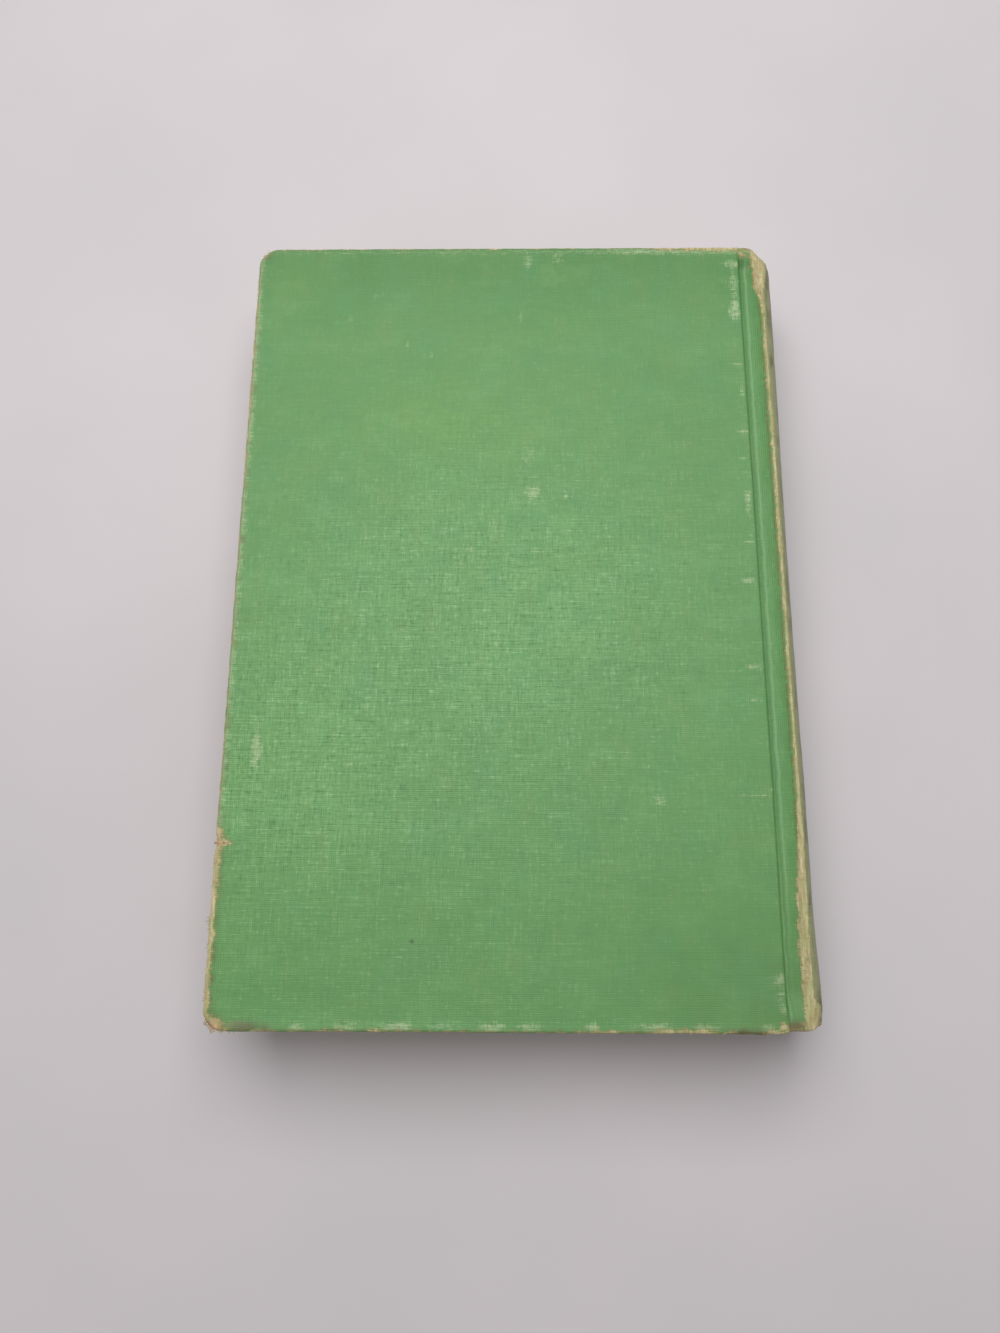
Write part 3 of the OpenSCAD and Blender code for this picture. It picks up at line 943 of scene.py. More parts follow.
frayed_threads("cover_frays", [
    ((-72.6, -61.9, 29.4), 0.8, 5, 180, 0.9), ((-72.8, -66.0, 29.5), 2.5, 5, 180, 0.5),
    ((-72.8, -73.0, 29.5), 1.0, 4, 180, 0.8), ((-72.8, -80.5, 29.5), 2.0, 9, 180, 1.0),
    ((-72.8, -86.0, 29.5), 0.9, 4, 180, 0.8), ((-72.8, -96.0, 29.5), 5.0, 9, 180, 0.6),
    ((-71.6, -103.8, 29.3), 1.8, 12, 225, 0.5), ((-66.0, -104.9, 29.3), 3.0, 6, 270, 0.5),
    ((-72.8, 60.0, 29.5), 34.0, 18, 180, 0.4), ((-72.8, -20.0, 29.5), 36.0, 12, 180, 0.3),
    ((0.0, -104.9, 29.4), 58.0, 22, 270, 0.4), ((-71.4, 103.6, 29.4), 1.5, 4, 135, 0.4),
    ((20.0, 104.8, 29.5), 40.0, 9, 90, 0.3),
], "back_cover", 71)

# %% [markdown]
# ## The leaves
# Some three hundred leaves, sewn in gatherings, show as fine lines on three sides of the block.
# Each line on the surface is one packet of leaves that stands out a little more or less than its
# neighbours. The grid has one row on each packet and one in each valley between two packets.

# %% Section of the leaves
PACKETS = 112
FORE_ROUND_R = 22.407  # the hollow of the fore edge
FORE_SAG = 3.0  # its depth
BODY_SHARE = 0.9  # the part of each row that lies before the shoulder
END_BACK = 0.12  # how far the packets stay behind the full height, at head and tail


def leaf_place(share, level):
    """A point in the block's section. The level goes from -1 to 1 through the thickness. The
    share goes from 0 at the hollow fore edge to 1 at the round of the spine, and the last tenth
    climbs the shoulder on its arc."""
    flat_z = HALF_BLOCK * level
    sag = FORE_ROUND_R * (1 - np.cos(np.arcsin(flat_z / FORE_ROUND_R)))
    fore_x = LEAF_FORE_X + FORE_SAG - sag
    end_x = SPINE_CENTRE_X + SPINE_R * np.cos(np.radians(TIP_ANGLE * level))
    end_z = SPINE_R * np.sin(np.radians(TIP_ANGLE * level))
    body = np.clip(share / BODY_SHARE, 0, 1)
    rest = np.clip((share - BODY_SHARE) / 0.1, 0, 1)
    x = fore_x + (STAY_X - fore_x) * body + (end_x - STAY_X) * rest
    limit = math.sin(math.radians(SHOULDER_ANGLE))
    full = 1 - math.cos(math.radians(SHOULDER_ANGLE))
    climb = (1 - np.sqrt(1 - (rest * limit) ** 2)) / full
    return x, flat_z + (end_z - flat_z) * climb


def packet_relief(row, along, seed):
    """How far a packet's edge stands out, in mm: a ridge on each packet, a valley between two,
    and a slow drift of each packet along its edge."""
    ridge = np.where(row % 2 == 1, 0.05, -0.05)
    packet = (row // 2) * 7.31
    drift = 0.07 * soft_noise(along / 37, packet, seed) + 0.05 * soft_noise(along / 9, packet, seed + 1)
    return ridge + drift * (row % 2 == 1)


print("a packet is", round(2 * HALF_BLOCK / PACKETS, 2), "mm thick")

# %% [markdown]
# The block is closed by six grids, and neighbouring grids have to end on the same points, or the
# weld leaves a gap. So head and tail are worked out first, the fore edge and the spine take their
# end columns from them, and the first and the last leaf are stretched between all four.

# %% The block of leaves
FORE_SEED = 65
END_SEED = 61
rows = np.arange(2 * PACKETS + 1)
level = np.linspace(-1, 1, len(rows))
share = np.concatenate([np.linspace(0, BODY_SHARE, 34, endpoint=False), np.linspace(BODY_SHARE, 1, 12)])
leaf_y = np.linspace(-LEAF_HALF_H, LEAF_HALF_H, 64)
block_grids = []
# Head and tail.
for end in (-1, 1):
    x, z = leaf_place(share[None, :], level[:, None])
    relief = packet_relief(rows[:, None], x, END_SEED + end)
    fore_side = packet_relief(rows, np.full(len(rows), end * LEAF_HALF_H), FORE_SEED)
    x = x - np.where(share[None, :] == 0, fore_side[:, None], 0)
    points = to_frame(x, end * (LEAF_HALF_H - END_BACK + relief), z)
    facts = {"leaf_mm": np.stack([x, z, 0 * x], axis=-1)}
    block_grids.append((points, facts))
# Fore edge and spine.
for place in (0, 1):
    x, z = leaf_place(np.full((len(rows), 1), float(place)), level[:, None])
    y = np.broadcast_to(leaf_y, (len(rows), len(leaf_y))).copy()
    relief = packet_relief(rows[:, None], y, FORE_SEED) if place == 0 else 0 * y
    for end, column in ((-1, 0), (1, -1)):
        end_relief = packet_relief(rows, leaf_place(float(place), level)[0], END_SEED + end)
        y[:, column] = end * (LEAF_HALF_H - END_BACK + end_relief)
    points = to_frame(x - relief, y, z)
    facts = {"leaf_mm": np.stack([y, z + 0 * y, 0 * y], axis=-1)}
    block_grids.append((points, facts))
# First and last leaf.
for place in (0, -1):
    ends = [block_grids[0][0][place], block_grids[1][0][place]]
    fraction = (leaf_y[:, None, None] + LEAF_HALF_H) / (2 * LEAF_HALF_H)
    points = ends[0][None] * (1 - fraction) + ends[1][None] * fraction
    points[:, 0] = block_grids[2][0][place]
    points[:, -1] = block_grids[3][0][place]
    facts = {"leaf_mm": np.stack([points[..., 0], points[..., 1], 0 * points[..., 0]], axis=-1)}
    block_grids.append((points, facts))
leaves = make_piece("leaves", block_grids)
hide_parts("text_block")
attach(leaves, "book_block")

# %% [markdown]
# ## The endpapers and the super
# A folded sheet holds the leaves in the case at each end. Its free half lies on the leaves, and
# its other half is pasted on the board. The fold sits in the joint, so the pasted half is one
# sheet that bends there. Under it lies the super, an open cotton cloth that goes from board to
# board round the spine. Where the turned-in cloth ends, the paper drops to the board: that step
# shows through in every case-bound book.

# %% Lines of the papers
FOLD_ANGLE = 32.3  # how far up the shoulder the papers go
FREE_AWAY = 0.19  # distance of the free leaf from the block
FREE_WALL = 0.14
PASTED_AWAY = 0.32  # and of the pasted leaf
PASTED_WALL = 0.16
STEP = 0.38  # how far the paper sinks where the turned-in cloth ends


def strip_grid(line, y, rise=0):
    """A line of the section carried from tail to head, with an optional outward rise."""
    x = line[None, :, 0]
    points = to_frame(x, y[:, None], line[None, :, 1] + rise)
    place = np.stack([x + 0 * points[..., 0], points[..., 1], 0 * points[..., 0]], axis=-1)
    return points, {"leaf_mm": place}


def paper_line(away, start=LEAF_FORE_X, top=FOLD_ANGLE):
    """From the fore edge along the leaves, then up the shoulder to the fold."""
    flat = straight([start, HALF_BLOCK + away], [STAY_X, HALF_BLOCK + away], 110)
    return np.concatenate([flat, shoulder_line(away, top, 14)])


paper_y = np.linspace(-LEAF_HALF_H, LEAF_HALF_H, 180)
pasted_line = paper_line(PASTED_AWAY)
# The paper sinks onto the bare board, inside the turned-in cloth and short of the super.
over_x = ramp(pasted_line[:, 0], 15.0, 16.6) * ramp(pasted_line[:, 0], 110.2, 109.2)
over_y = ramp(LEAF_HALF_H - abs(paper_y), 12.1, 13.7)
free_points, free_facts = strip_grid(paper_line(FREE_AWAY), paper_y)
pasted_points, pasted_facts = strip_grid(pasted_line, paper_y, STEP * over_x[None, :] * over_y[:, None])
print("the papers are", round(lengths(pasted_line)[-1], 1), "mm from fore edge to fold")

# %% [markdown]
# The super lies under the pasted leaf, so its line is one layer further from the flat of the
# leaves, but on the round of the spine it is the first layer. It is shorter than the book, which
# leaves room for a band at each end.

# %% Line of the super
SUPER_EDGE_X = 109.75
SUPER_HALF_H = 86.5
SUPER_AWAY = (0.78, 0.28)  # distance from the leaves over the shoulder, and from the spine
SUPER_WALL = 0.2
super_start = [SUPER_EDGE_X, HALF_BLOCK + SUPER_AWAY[0]]
super_line = np.concatenate([
    straight(super_start, [STAY_X, HALF_BLOCK + SUPER_AWAY[0]], 30),
    shoulder_line(SUPER_AWAY[0], SHOULDER_ANGLE, 12),
    crest_line(*SUPER_AWAY, 8)[1:],
    spine_line(SUPER_AWAY[1], count=20)[1:],
])
super_y = np.linspace(-SUPER_HALF_H, SUPER_HALF_H, 60)
super_points, super_facts = strip_grid(super_line, super_y)
print("the super reaches", round(BOARD_W - SUPER_EDGE_X, 1), "mm onto each board")

# %% [markdown]
# Now each line becomes a piece of its own, twice: once as drawn for the upper cover, and once mirrored
# for the lower. The free leaf stays with the leaves. The pasted leaf and the super are glued to both
# sides of the joint.

# %% Free leaf, pasted leaf and super of both covers
cover_names = {1: "back", -1: "front"}
for side, cover in cover_names.items():
    free = (mirrored(free_points, side), free_facts)
    free_leaf = make_piece(cover + "_free_leaf", [free], inside=(0, 0, MID_Z))
    thicken(free_leaf, FREE_WALL)
    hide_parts(cover + "_endpaper")
    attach(free_leaf, "book_block")
    pasted = (mirrored(pasted_points, side), pasted_facts)
    pasted_leaf = make_piece(cover + "_pasted_leaf", [pasted], inside=(0, 0, MID_Z + side * 40))
    thicken(pasted_leaf, PASTED_WALL)
    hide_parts(cover + "_pastedown")
    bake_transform(pasted_leaf)
    super_grid = (mirrored(super_points, side), super_facts)
    super_cloth = make_piece(cover + "_super", [super_grid], inside=(0, 0, MID_Z))
    thicken(super_cloth, SUPER_WALL)
    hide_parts(cover + "_super_flange", "spine_super")
    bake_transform(super_cloth)

# %% [markdown]
# ## The bands at head and tail
# A woven band with a fat striped bead hides the backs of the gatherings at both ends. The bead
# is a small circle carried round the spine's arc, its surface wound with coloured thread, so the
# radius swells and sinks at each turn of the thread. Its tape is glued flat on the spine.

# %% Bands
BEAD_R = 0.83  # radius of the bead, thread and all
BEAD_OUT = 0.85  # half the room that the bead takes
BEAD_PROUD = 0.15  # how far the bead stands out beyond the leaves
THREAD_DEPTH = 0.05
TURNS = 46
GLUE = 0.05
TAPE_DEPTH = 7
TAPE_OUT = 0.27  # distance of the tape from the leaves
TAPE_WALL = 0.2
BAND_ANGLE = 25.6  # how far the bands reach to each side, in degrees
bead_centre = SPINE_R + BEAD_PROUD - BEAD_OUT
band_angles = np.radians(np.linspace(-BAND_ANGLE, BAND_ANGLE, 420))
round_angles = np.radians(np.linspace(0, 360, 20, endpoint=False))
wound = np.linspace(0, TURNS, len(band_angles))
swell = THREAD_DEPTH * abs(np.sin(np.pi * wound * 1.5))[:, None]
closing = np.sqrt(np.clip(1 - abs(band_angles / band_angles[-1]) ** 40, 0, 1))[:, None]
bead_r = (BEAD_R - THREAD_DEPTH + swell) * closing


def band_grid_at(reach, y):
    """Points at a reach from the spine's centre along the band's arc, at a height y."""
    x = SPINE_CENTRE_X + reach * np.cos(band_angles)[:, None]
    return to_frame(x, y, reach * np.sin(band_angles)[:, None])


for end, name in ((1, "head_band"), (-1, "tail_band")):
    y = end * (LEAF_HALF_H + GLUE + BEAD_OUT + bead_r * np.sin(round_angles)[None, :])
    points = band_grid_at(bead_centre + bead_r * np.cos(round_angles)[None, :], y)
    place = np.stack([wound[:, None] + 0 * y, round_angles[None, :] + 0 * y, 0 * y], axis=-1)
    bead = make_piece(name + "_bead", [(points, {"thread": place})], closed=True)
    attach(bead, "book_block")
    tape_y = end * np.linspace(LEAF_HALF_H + GLUE - TAPE_DEPTH, LEAF_HALF_H + 0.7, 12)[None, :]
    points = band_grid_at(np.full((len(band_angles), tape_y.size), SPINE_R + TAPE_OUT), tape_y)
    nought = 0 * points[..., 0]
    place = np.stack([wound[:, None] + nought, tape_y + nought, nought], axis=-1)
    tape = make_piece(name + "_tape", [(points, {"thread": place})], inside=(0, 0, MID_Z))
    thicken(tape, TAPE_WALL)
    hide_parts(name)
    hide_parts(name)
    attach(tape, "book_block")

# %% [markdown]
# ## The card in the spine
# A strip of card stiffens the cloth of the spine. It was as long as the boards, and it is crushed
# together with the caps, so it gets the same cap shape as the cloth round it.

# %% Spine card
CARD_HALF_H = 104.2
CARD_AWAY = 1.82  # outside of the card, from the leaves
CARD_WALL = 0.5
card_y = np.linspace(-CARD_HALF_H, CARD_HALF_H, 150)
upper_arc = spine_line(CARD_AWAY, count=40)
lower_arc = spine_line(CARD_AWAY, 0, -TIP_ANGLE, 40)
card_line = np.concatenate([upper_arc[:-1], lower_arc])
card_points, card_facts = strip_grid(card_line, card_y)
# The place on the cloth over each point of the card tells how far the cap is pushed in there.
arc_left = np.linspace(TIP_ANGLE, -TIP_ANGLE, len(card_line))
card_u = CREST_U + 1.0 + (SPINE_R + 1.8) * np.radians(TIP_ANGLE - abs(arc_left))
card_points = shape_caps(card_points, card_u[None, :])
spine_card = make_piece("spine_card", [(card_points, card_facts)], inside=(0, 0, MID_Z))
thicken(spine_card, CARD_WALL)
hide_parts("spine_inlay")
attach(spine_card, "book_block")

# %% [markdown]
# ## Ways to build a finish
# Every finish is a small graph of nodes. The class below only shortens the writing: it adds a
# node, sets its sockets, and links whatever is given as another node's output. Some nodes have
# several sockets of one name, so sockets are also given by number: 6 and 7 are Mix's two colours.

# %% Finish helper


class Finish:
    """A material with short ways to add nodes to it."""

    def __init__(self, name):
        self.material = bpy.data.materials.new(name)
        self.material.use_nodes = True
        self.tree = self.material.node_tree
        self.tree.nodes.clear()
        self.shader = self.tree.nodes.new("ShaderNodeBsdfPrincipled")
        output = self.tree.nodes.new("ShaderNodeOutputMaterial")
        self.tree.links.new(self.shader.outputs[0], output.inputs[0])

    def put(self, socket, value):
        """Sets a socket, or links it if the value is another socket."""
        if isinstance(value, bpy.types.NodeSocket):
            self.tree.links.new(value, socket)
        else:
            socket.default_value = value

    def add(self, kind, inputs, **settings):
        """A node of that kind, with its sockets filled by number or name."""
        node = self.tree.nodes.new(kind)
        for key, value in settings.items():
            setattr(node, key, value)
        for key, value in inputs.items():
            self.put(node.inputs[key], value)
        return node

    def attribute(self, name):
        """What the mesh stores at each point under that name."""
        return self.add("ShaderNodeAttribute", {}, attribute_name=name, attribute_type="GEOMETRY")

    def sums(self, operation, a, b=0.0, c=0.0):
        """One step of arithmetic."""
        return self.add("ShaderNodeMath", {0: a, 1: b, 2: c}, operation=operation).outputs[0]

    def total(self, *parts, base=0.0):
        """The base plus each part's swing about one half, times its share."""
        for part, share in parts:
            swing = self.sums("MULTIPLY_ADD", part, share, -0.5 * share)
            base = self.sums("ADD", base, swing)
        return base

    def band(self, value, at, half):
        """1 where the value is at that number, and 0 from half the width away."""
        away = self.sums("ABSOLUTE", self.sums("SUBTRACT", value, at))
        return self.between(away, half, 0.0)

    def spot(self, place, middle, size):
        """A soft oval: 1 in its core and 0 from 1.6 times its size, in each direction."""
        shift = (-middle[0] / size[0], -middle[1] / size[1], 0)
        moved = self.stretch(place, (1 / size[0], 1 / size[1], 1), shift)
        away = self.add("ShaderNodeVectorMath", {0: moved}, operation="LENGTH").outputs["Value"]
        return self.between(away, 1.6, 0.2)

    def stretch(self, vector, scale, shift=(0, 0, 0)):
        """The same place with each axis scaled, which makes a pattern long in one direction."""
        node = self.add("ShaderNodeMapping", {0: vector, 1: shift, 3: scale})
        return node.outputs[0]

    def noise(self, vector, scale, detail=2.0, rough=0.5):
        """Cloudy values round 0.5."""
        node = self.add("ShaderNodeTexNoise", {
            "Vector": vector, "Scale": scale, "Detail": detail, "Roughness": rough,
        })
        return node.outputs["Fac"]

    def wave(self, vector, scale, direction):
        """Even ridges, as threads that lie side by side."""
        node = self.add("ShaderNodeTexWave", {
            "Vector": vector, "Scale": scale, "Distortion": 0.6, "Detail": 1.0, "Detail Scale": 1.5,
        }, bands_direction=direction)
        return node.outputs["Fac"]

    def between(self, value, low, high, to_low=0.0, to_high=1.0):
        """Values from low to high spread over another span, and held at its ends."""
        node = self.add("ShaderNodeMapRange", {
            0: value, 1: low, 2: high, 3: to_low, 4: to_high,
        }, interpolation_type="SMOOTHSTEP")
        return node.outputs[0]

    def mix(self, share, a, b):
        """Colour a turned into colour b by that share."""
        return self.add("ShaderNodeMix", {0: share, 6: a, 7: b}, data_type="RGBA").outputs[2]

    def bump(self, height, distance, strength=1.0, normal=None):
        """Relief that only bends the light, for detail finer than the mesh."""
        inputs = {"Height": height, "Distance": distance, "Strength": strength}
        if normal is not None:
            inputs["Normal"] = normal
        return self.add("ShaderNodeBump", inputs).outputs[0]

    def finish(self, colour, roughness, normal, **uniform):
        """Links the shader, and sets values that are the same all over on its own sockets."""
        self.put(self.shader.inputs["Base Color"], colour)
        self.put(self.shader.inputs["Roughness"], roughness)
        self.put(self.shader.inputs["Normal"], normal)
        for key, value in uniform.items():
            self.shader.inputs[key.replace("_", " ")].default_value = value
        return self.material


# %% [markdown]
# Blender mixes light, while a colour picked on a screen is stored with a curve that spares the
# dark tones. So each written colour is first turned back into light.

# %% Colours


def tint(red, green, blue):
    """A colour from its values on the screen, 0 to 255, turned into light: ((c + 0.055) / 1.055)
    to the power 2.4, or c / 12.92 in the darkest part."""
    parts = []
    for value in (red, green, blue):
        c = value / 255
        parts.append(c / 12.92 if c <= 0.04045 else ((c + 0.055) / 1.055) ** 2.4)
    return (*parts, 1.0)


print("a middle green as light:", [round(c, 3) for c in tint(100, 160, 95)[:3]])

# %% [markdown]
# ## Book cloth
# The cloth is plain-woven cotton, dyed green and filled with starch. Seen close, threads cross
# every half millimetre, and here and there one is thicker or paler, which gives short dashes
# along both directions. The finish reads the place on the flat cloth, so the threads follow the
# cloth round every edge.
#
# Colour, wear and relief share a few patterns, made once here. A thread that is pale is then also
# the thread that stands out and the one that wears through first, as on the real cloth.

# %% Patterns of the cloth


class BookCloth(Finish):
    """The cloth's finish, with the mesh's values and the shared patterns kept by name."""

    def __init__(self):
        super().__init__("book_cloth")
        self.place = self.attribute("cloth_mm").outputs["Vector"]
        axes = self.add("ShaderNodeSeparateXYZ", {0: self.place}).outputs
        self.u = axes[0]
        self.v = axes[1]
        self.worn = self.attribute("worn").outputs["Fac"]
        self.rubbed = self.attribute("rubbed").outputs["Fac"]
        self.soil_and_shade = self.attribute("soil_and_shade").outputs["Fac"]
        self.aged = self.attribute("aged").outputs["Fac"]
        self.pale_sheen = self.attribute("pale_sheen").outputs["Fac"]
        self.yellow = self.attribute("yellow").outputs["Fac"]
        self.long_over = self.streaks((0.1, 2.1, 1), (0, 0, 0), 2.0, 0.6)
        self.over = self.streaks((0.5, 2.5, 1), (3, 9, 0), 1.0)
        self.long_down = self.streaks((1.3, 0.13, 1), (7, 3, 0), 2.0, 0.6)
        self.down = self.streaks((2.5, 0.55, 1), (5, 1, 0), 1.0)
        self.tone = self.streaks((0.07, 0.13, 1), (47, 23, 0), 4.0, 0.65)
        self.hue = self.streaks((0.1, 0.06, 1), (9, 61, 0), 4.0, 0.65)
        self.fine = self.noise(self.place, 3.2, 2.0, 0.6)
        self.cloud = self.noise(self.place, 0.028, 2.0, 0.5)
        self.patch = self.noise(self.stretch(self.place, (1, 1, 1), (31, 17, 0)), 0.16, 3.0, 0.6)
        self.weft = self.wave(self.place, 0.628, "Y")
        self.warp = self.wave(self.place, 0.628, "X")
        self.rib = self.wave(self.place, 0.393, "Y")

    def streaks(self, scale, shift, detail, rough=0.5):
        """Noise with its own scale along and across the cloth: threads where the two are far
        apart, and clouds where both are small. The shift keeps one pattern off another."""
        return self.noise(self.stretch(self.place, scale, shift), 1.0, detail, rough)

    def all_spots(self, marks):
        """The soft oval and the share of each (x, v, half width, half height, share)."""
        for x, v, half_width, half_height, share in marks:
            yield self.spot(self.place, (x + MID_X, v), (half_width, half_height)), share


print("thread crossings on one cover, about:", round(BOARD_W * 2 * HALF_H / 0.5 ** 2))

# %% [markdown]
# The dye has drifted in slow clouds: bluer here, yellower there. A painted sheen makes the cloth lighter
# in the middle, and there its threads also stand out more, as glints of light would. On top lie the
# single threads, lighter or darker than their neighbours, and the tiny dark gaps where no thread covers
# the ground. On the spine the light has bleached nearly all green out of the cloth.

# %% Dye of the cloth


def dyed(f):
    """Colour of the cloth before any wear: clouds first, then threads, gaps, and the faded spine."""
    threads = f.total((f.long_over, 1.15), (f.over, 0.8), (f.long_down, 0.95), (f.down, 0.85),
                      (f.fine, 0.35), (f.rib, 0.08))
    # Painted sheen: where the sheen share is high, the threads stand out more and the green is lighter.
    threads = f.sums("MULTIPLY", threads, f.between(f.pale_sheen, 0.35, 1.25, 0.42, 1.3))
    green = f.mix(f.sums("MULTIPLY", f.pale_sheen, 0.5), tint(82, 133, 69), tint(126, 182, 114))
    green = f.mix(f.between(f.cloud, 0.35, 0.65, 0, 0.35), green, tint(102, 147, 86))
    tinge = f.sums("MULTIPLY", f.yellow, f.between(f.patch, 0.3, 0.65, 0.08, 0.42))
    green = f.mix(tinge, green, tint(124, 166, 78))
    green = f.mix(f.between(f.patch, 0.35, 0.7, 0, 0.25), green, tint(86, 140, 82))
    green = f.mix(f.between(f.tone, 0.5, 0.68, 0, 0.13), green, tint(128, 178, 118))
    green = f.mix(f.between(f.tone, 0.5, 0.32, 0, 0.16), green, tint(82, 130, 72))
    green = f.mix(f.between(f.hue, 0.5, 0.66, 0, 0.2), green, tint(120, 150, 84))
    green = f.mix(f.between(f.hue, 0.5, 0.34, 0, 0.2), green, tint(88, 150, 100))
    green = f.mix(f.between(threads, 0.0, 0.8), green, tint(150, 190, 134))
    green = f.mix(f.between(threads, 0.0, -0.8), green, tint(74, 122, 68))
    gaps = f.sums("MULTIPLY", f.sums("SUBTRACT", 1.0, f.weft), f.sums("SUBTRACT", 1.0, f.warp))
    green = f.mix(f.sums("MULTIPLY", gaps, 0.3), green, tint(76, 122, 68))
    faded = f.mix(f.between(threads, -0.6, 0.6), tint(122, 130, 90), tint(166, 168, 124))
    return f.mix(f.aged, green, faded)


# %% [markdown]
# Small rubs are finer than the mesh, so the finish itself places them. Each entry of the list is
# the middle of a rub on the upper cover, its half width and half height in mm, and its share.
# Only the threads that stand out catch the rub, so its border is made of short pale dashes.

# %% Rubs of the cloth
RUBS = [
    (4.2, 29.9, 2.2, 2.2, 0.75), (2.9, 40.2, 2.0, 2.6, 0.45), (12.9, 29.1, 0.6, 1.2, 0.7),
    (-39.6, 89.3, 0.9, 0.9, 0.6), (-30.3, 73.8, 0.45, 1.2, 0.6), (-23.5, 70.4, 0.4, 1.0, 0.5),
    (1.0, 82.8, 0.3, 1.7, 0.6), (3.1, 100.2, 1.2, 2.2, 0.65), (11.3, 101.4, 1.8, 1.8, 0.4),
    (-12.2, 13.7, 1.0, 0.9, 0.6), (60.8, 99.5, 2.6, 1.2, 0.7), (60.5, 92.4, 1.2, 6.0, 0.6),
    (60.4, 84.2, 1.8, 3.0, 0.8), (60.0, 67.7, 1.7, 0.35, 0.6), (61.0, 59.4, 0.7, 1.8, 0.45),
    (60.3, 47.4, 1.7, 0.6, 0.7), (59.5, 39.5, 1.4, 0.35, 0.5), (60.6, 27.4, 0.8, 3.0, 0.7),
    (60.4, 15.7, 1.4, 0.35, 0.5), (59.3, 5.2, 1.7, 0.8, 0.8), (59.6, -17.9, 2.4, 1.0, 0.55),
    (59.7, -26.4, 2.6, 0.3, 0.6), (62.0, -48.8, 0.5, 0.5, 0.9), (56.8, -50.1, 4.8, 0.35, 0.45),
    (34.4, -51.6, 1.9, 1.6, 0.55), (-64.4, -39.1, 1.3, 6.0, 0.85), (61.4, -92.6, 1.3, 1.0, 0.6),
    (61.2, -96.0, 1.2, 0.4, 0.6), (61.7, -99.6, 1.0, 1.6, 0.6), (60.8, -94.5, 1.8, 5.0, 0.3),
    (61.2, 30.0, 1.3, 46.0, 0.14), (-46.5, 82.0, 1.2, 1.2, 0.3),
]


print("small rubs:", len(RUBS))


def rubbed_pale(f, green):
    """The dye lightened where the mesh or the list says rubbed, thread by thread."""
    rubbed = f.rubbed
    for oval, share in f.all_spots(RUBS):
        rubbed = f.sums("MULTIPLY_ADD", oval, share, rubbed)
    rub = f.total((f.over, 1.5), (f.down, 1.2), (f.long_over, 0.9), (f.fine, 0.8), base=rubbed)
    rub = f.sums("MULTIPLY", f.between(rub, 0.1, 1.35), f.between(rubbed, 0.04, 0.3))
    return f.mix(f.sums("MULTIPLY", rub, 0.85), green, tint(172, 190, 146))


# %% [markdown]
# Painted shade darkens a line in the bottom of the groove, and a painted highlight lightens a line on
# the roll beside it. The two lines wander a little, and both end where the groove runs out. Low on the
# joint, a wider painted light lies over the crease.
# A third line follows the foot of the ridge, where dust has settled.

# %% Lines of the joint


def joint_lines(f, green):
    """Soft lines at fixed distances from crease and crest, each with its own strength along v: painted
    shade in the crease, painted highlight and painted light beside and over it, and dust before the
    crest.
    """
    wander = f.sums("MULTIPLY", f.sums("SUBTRACT", f.noise(f.v, 0.12, 2.0), 0.5), 0.8)
    u = f.sums("ADD", f.u, wander)
    inside = f.between(f.sums("ABSOLUTE", f.v), 103.0, 99.5)
    # Painted shade in the bottom of the groove, weaker towards the tail.
    crease = f.sums("MULTIPLY", f.band(u, CREASE_U + 0.3, 0.45), inside)
    crease = f.sums("MULTIPLY", crease, f.between(f.v, -104.0, -80.0, 0.15, 0.4))
    # Painted highlight on the roll beside the crease.
    roll_highlight = f.sums("MULTIPLY", f.band(u, CREASE_U + 1.15, 0.45), inside)
    roll_highlight = f.sums("MULTIPLY", roll_highlight, f.between(f.v, -90.0, -60.0, 0.05, 0.4))
    green = f.mix(roll_highlight, green, tint(142, 184, 130))
    green = f.mix(crease, green, tint(66, 108, 58))
    # Painted light over the crease, low on the joint.
    light = f.sums("MULTIPLY", f.band(u, CREASE_U - 0.1, 0.6), f.between(f.v, -50.0, -85.0, 0, 0.4))
    green = f.mix(light, green, tint(134, 178, 118))
    broken = f.between(f.noise(f.v, 0.5, 2.0), 0.35, 0.55, 0.3, 0.8)
    dusty = f.sums("MULTIPLY", f.band(u, CREST_U - 1.0, 0.75), broken)
    return f.mix(dusty, green, tint(108, 112, 62))


# %% [markdown]
# Soil is dirt in the cloth: a thin wash wherever hands and shelves left some, and darker specks where it
# caught on the threads. In the hollow at the tail end of the joint, the same wash and specks are partly
# painted shade of that hollow. One small dark dot sits by itself near the tail.

# %% Soil of the cloth
DOT_PLACE = (47.9, -84.7, 0)


def soiled_cloth(f, green):
    """The dot, then an even wash, then specks broken up by the threads."""
    from_dot = f.add("ShaderNodeVectorMath", {0: f.place, 1: DOT_PLACE}, operation="DISTANCE")
    dot = f.sums("ADD", from_dot.outputs["Value"], f.sums("MULTIPLY", f.fine, 0.5))
    green = f.mix(f.between(dot, 0.95, 0.5, 0, 0.6), green, tint(66, 78, 46))
    green = f.mix(f.between(f.soil_and_shade, 0.0, 0.5, 0, 0.3), green, tint(104, 112, 70))
    soil = f.total((f.patch, 0.6), (f.over, 0.8), (f.down, 0.6), (f.fine, 0.4), base=f.soil_and_shade)
    soil = f.sums("MULTIPLY", f.between(soil, 0.15, 0.95), f.between(f.soil_and_shade, 0.02, 0.2))
    return f.mix(f.sums("MULTIPLY", soil, 0.75), green, tint(92, 97, 63))


# %% [markdown]
# Where starch and dye are rubbed off, the threads show olive, then tan, then nearly white, and at
# last the brown board comes through. How bare a point is comes from the mesh, plus the threads'
# own pattern, so every border between two of these colours frays along single threads.

# %% Bare threads


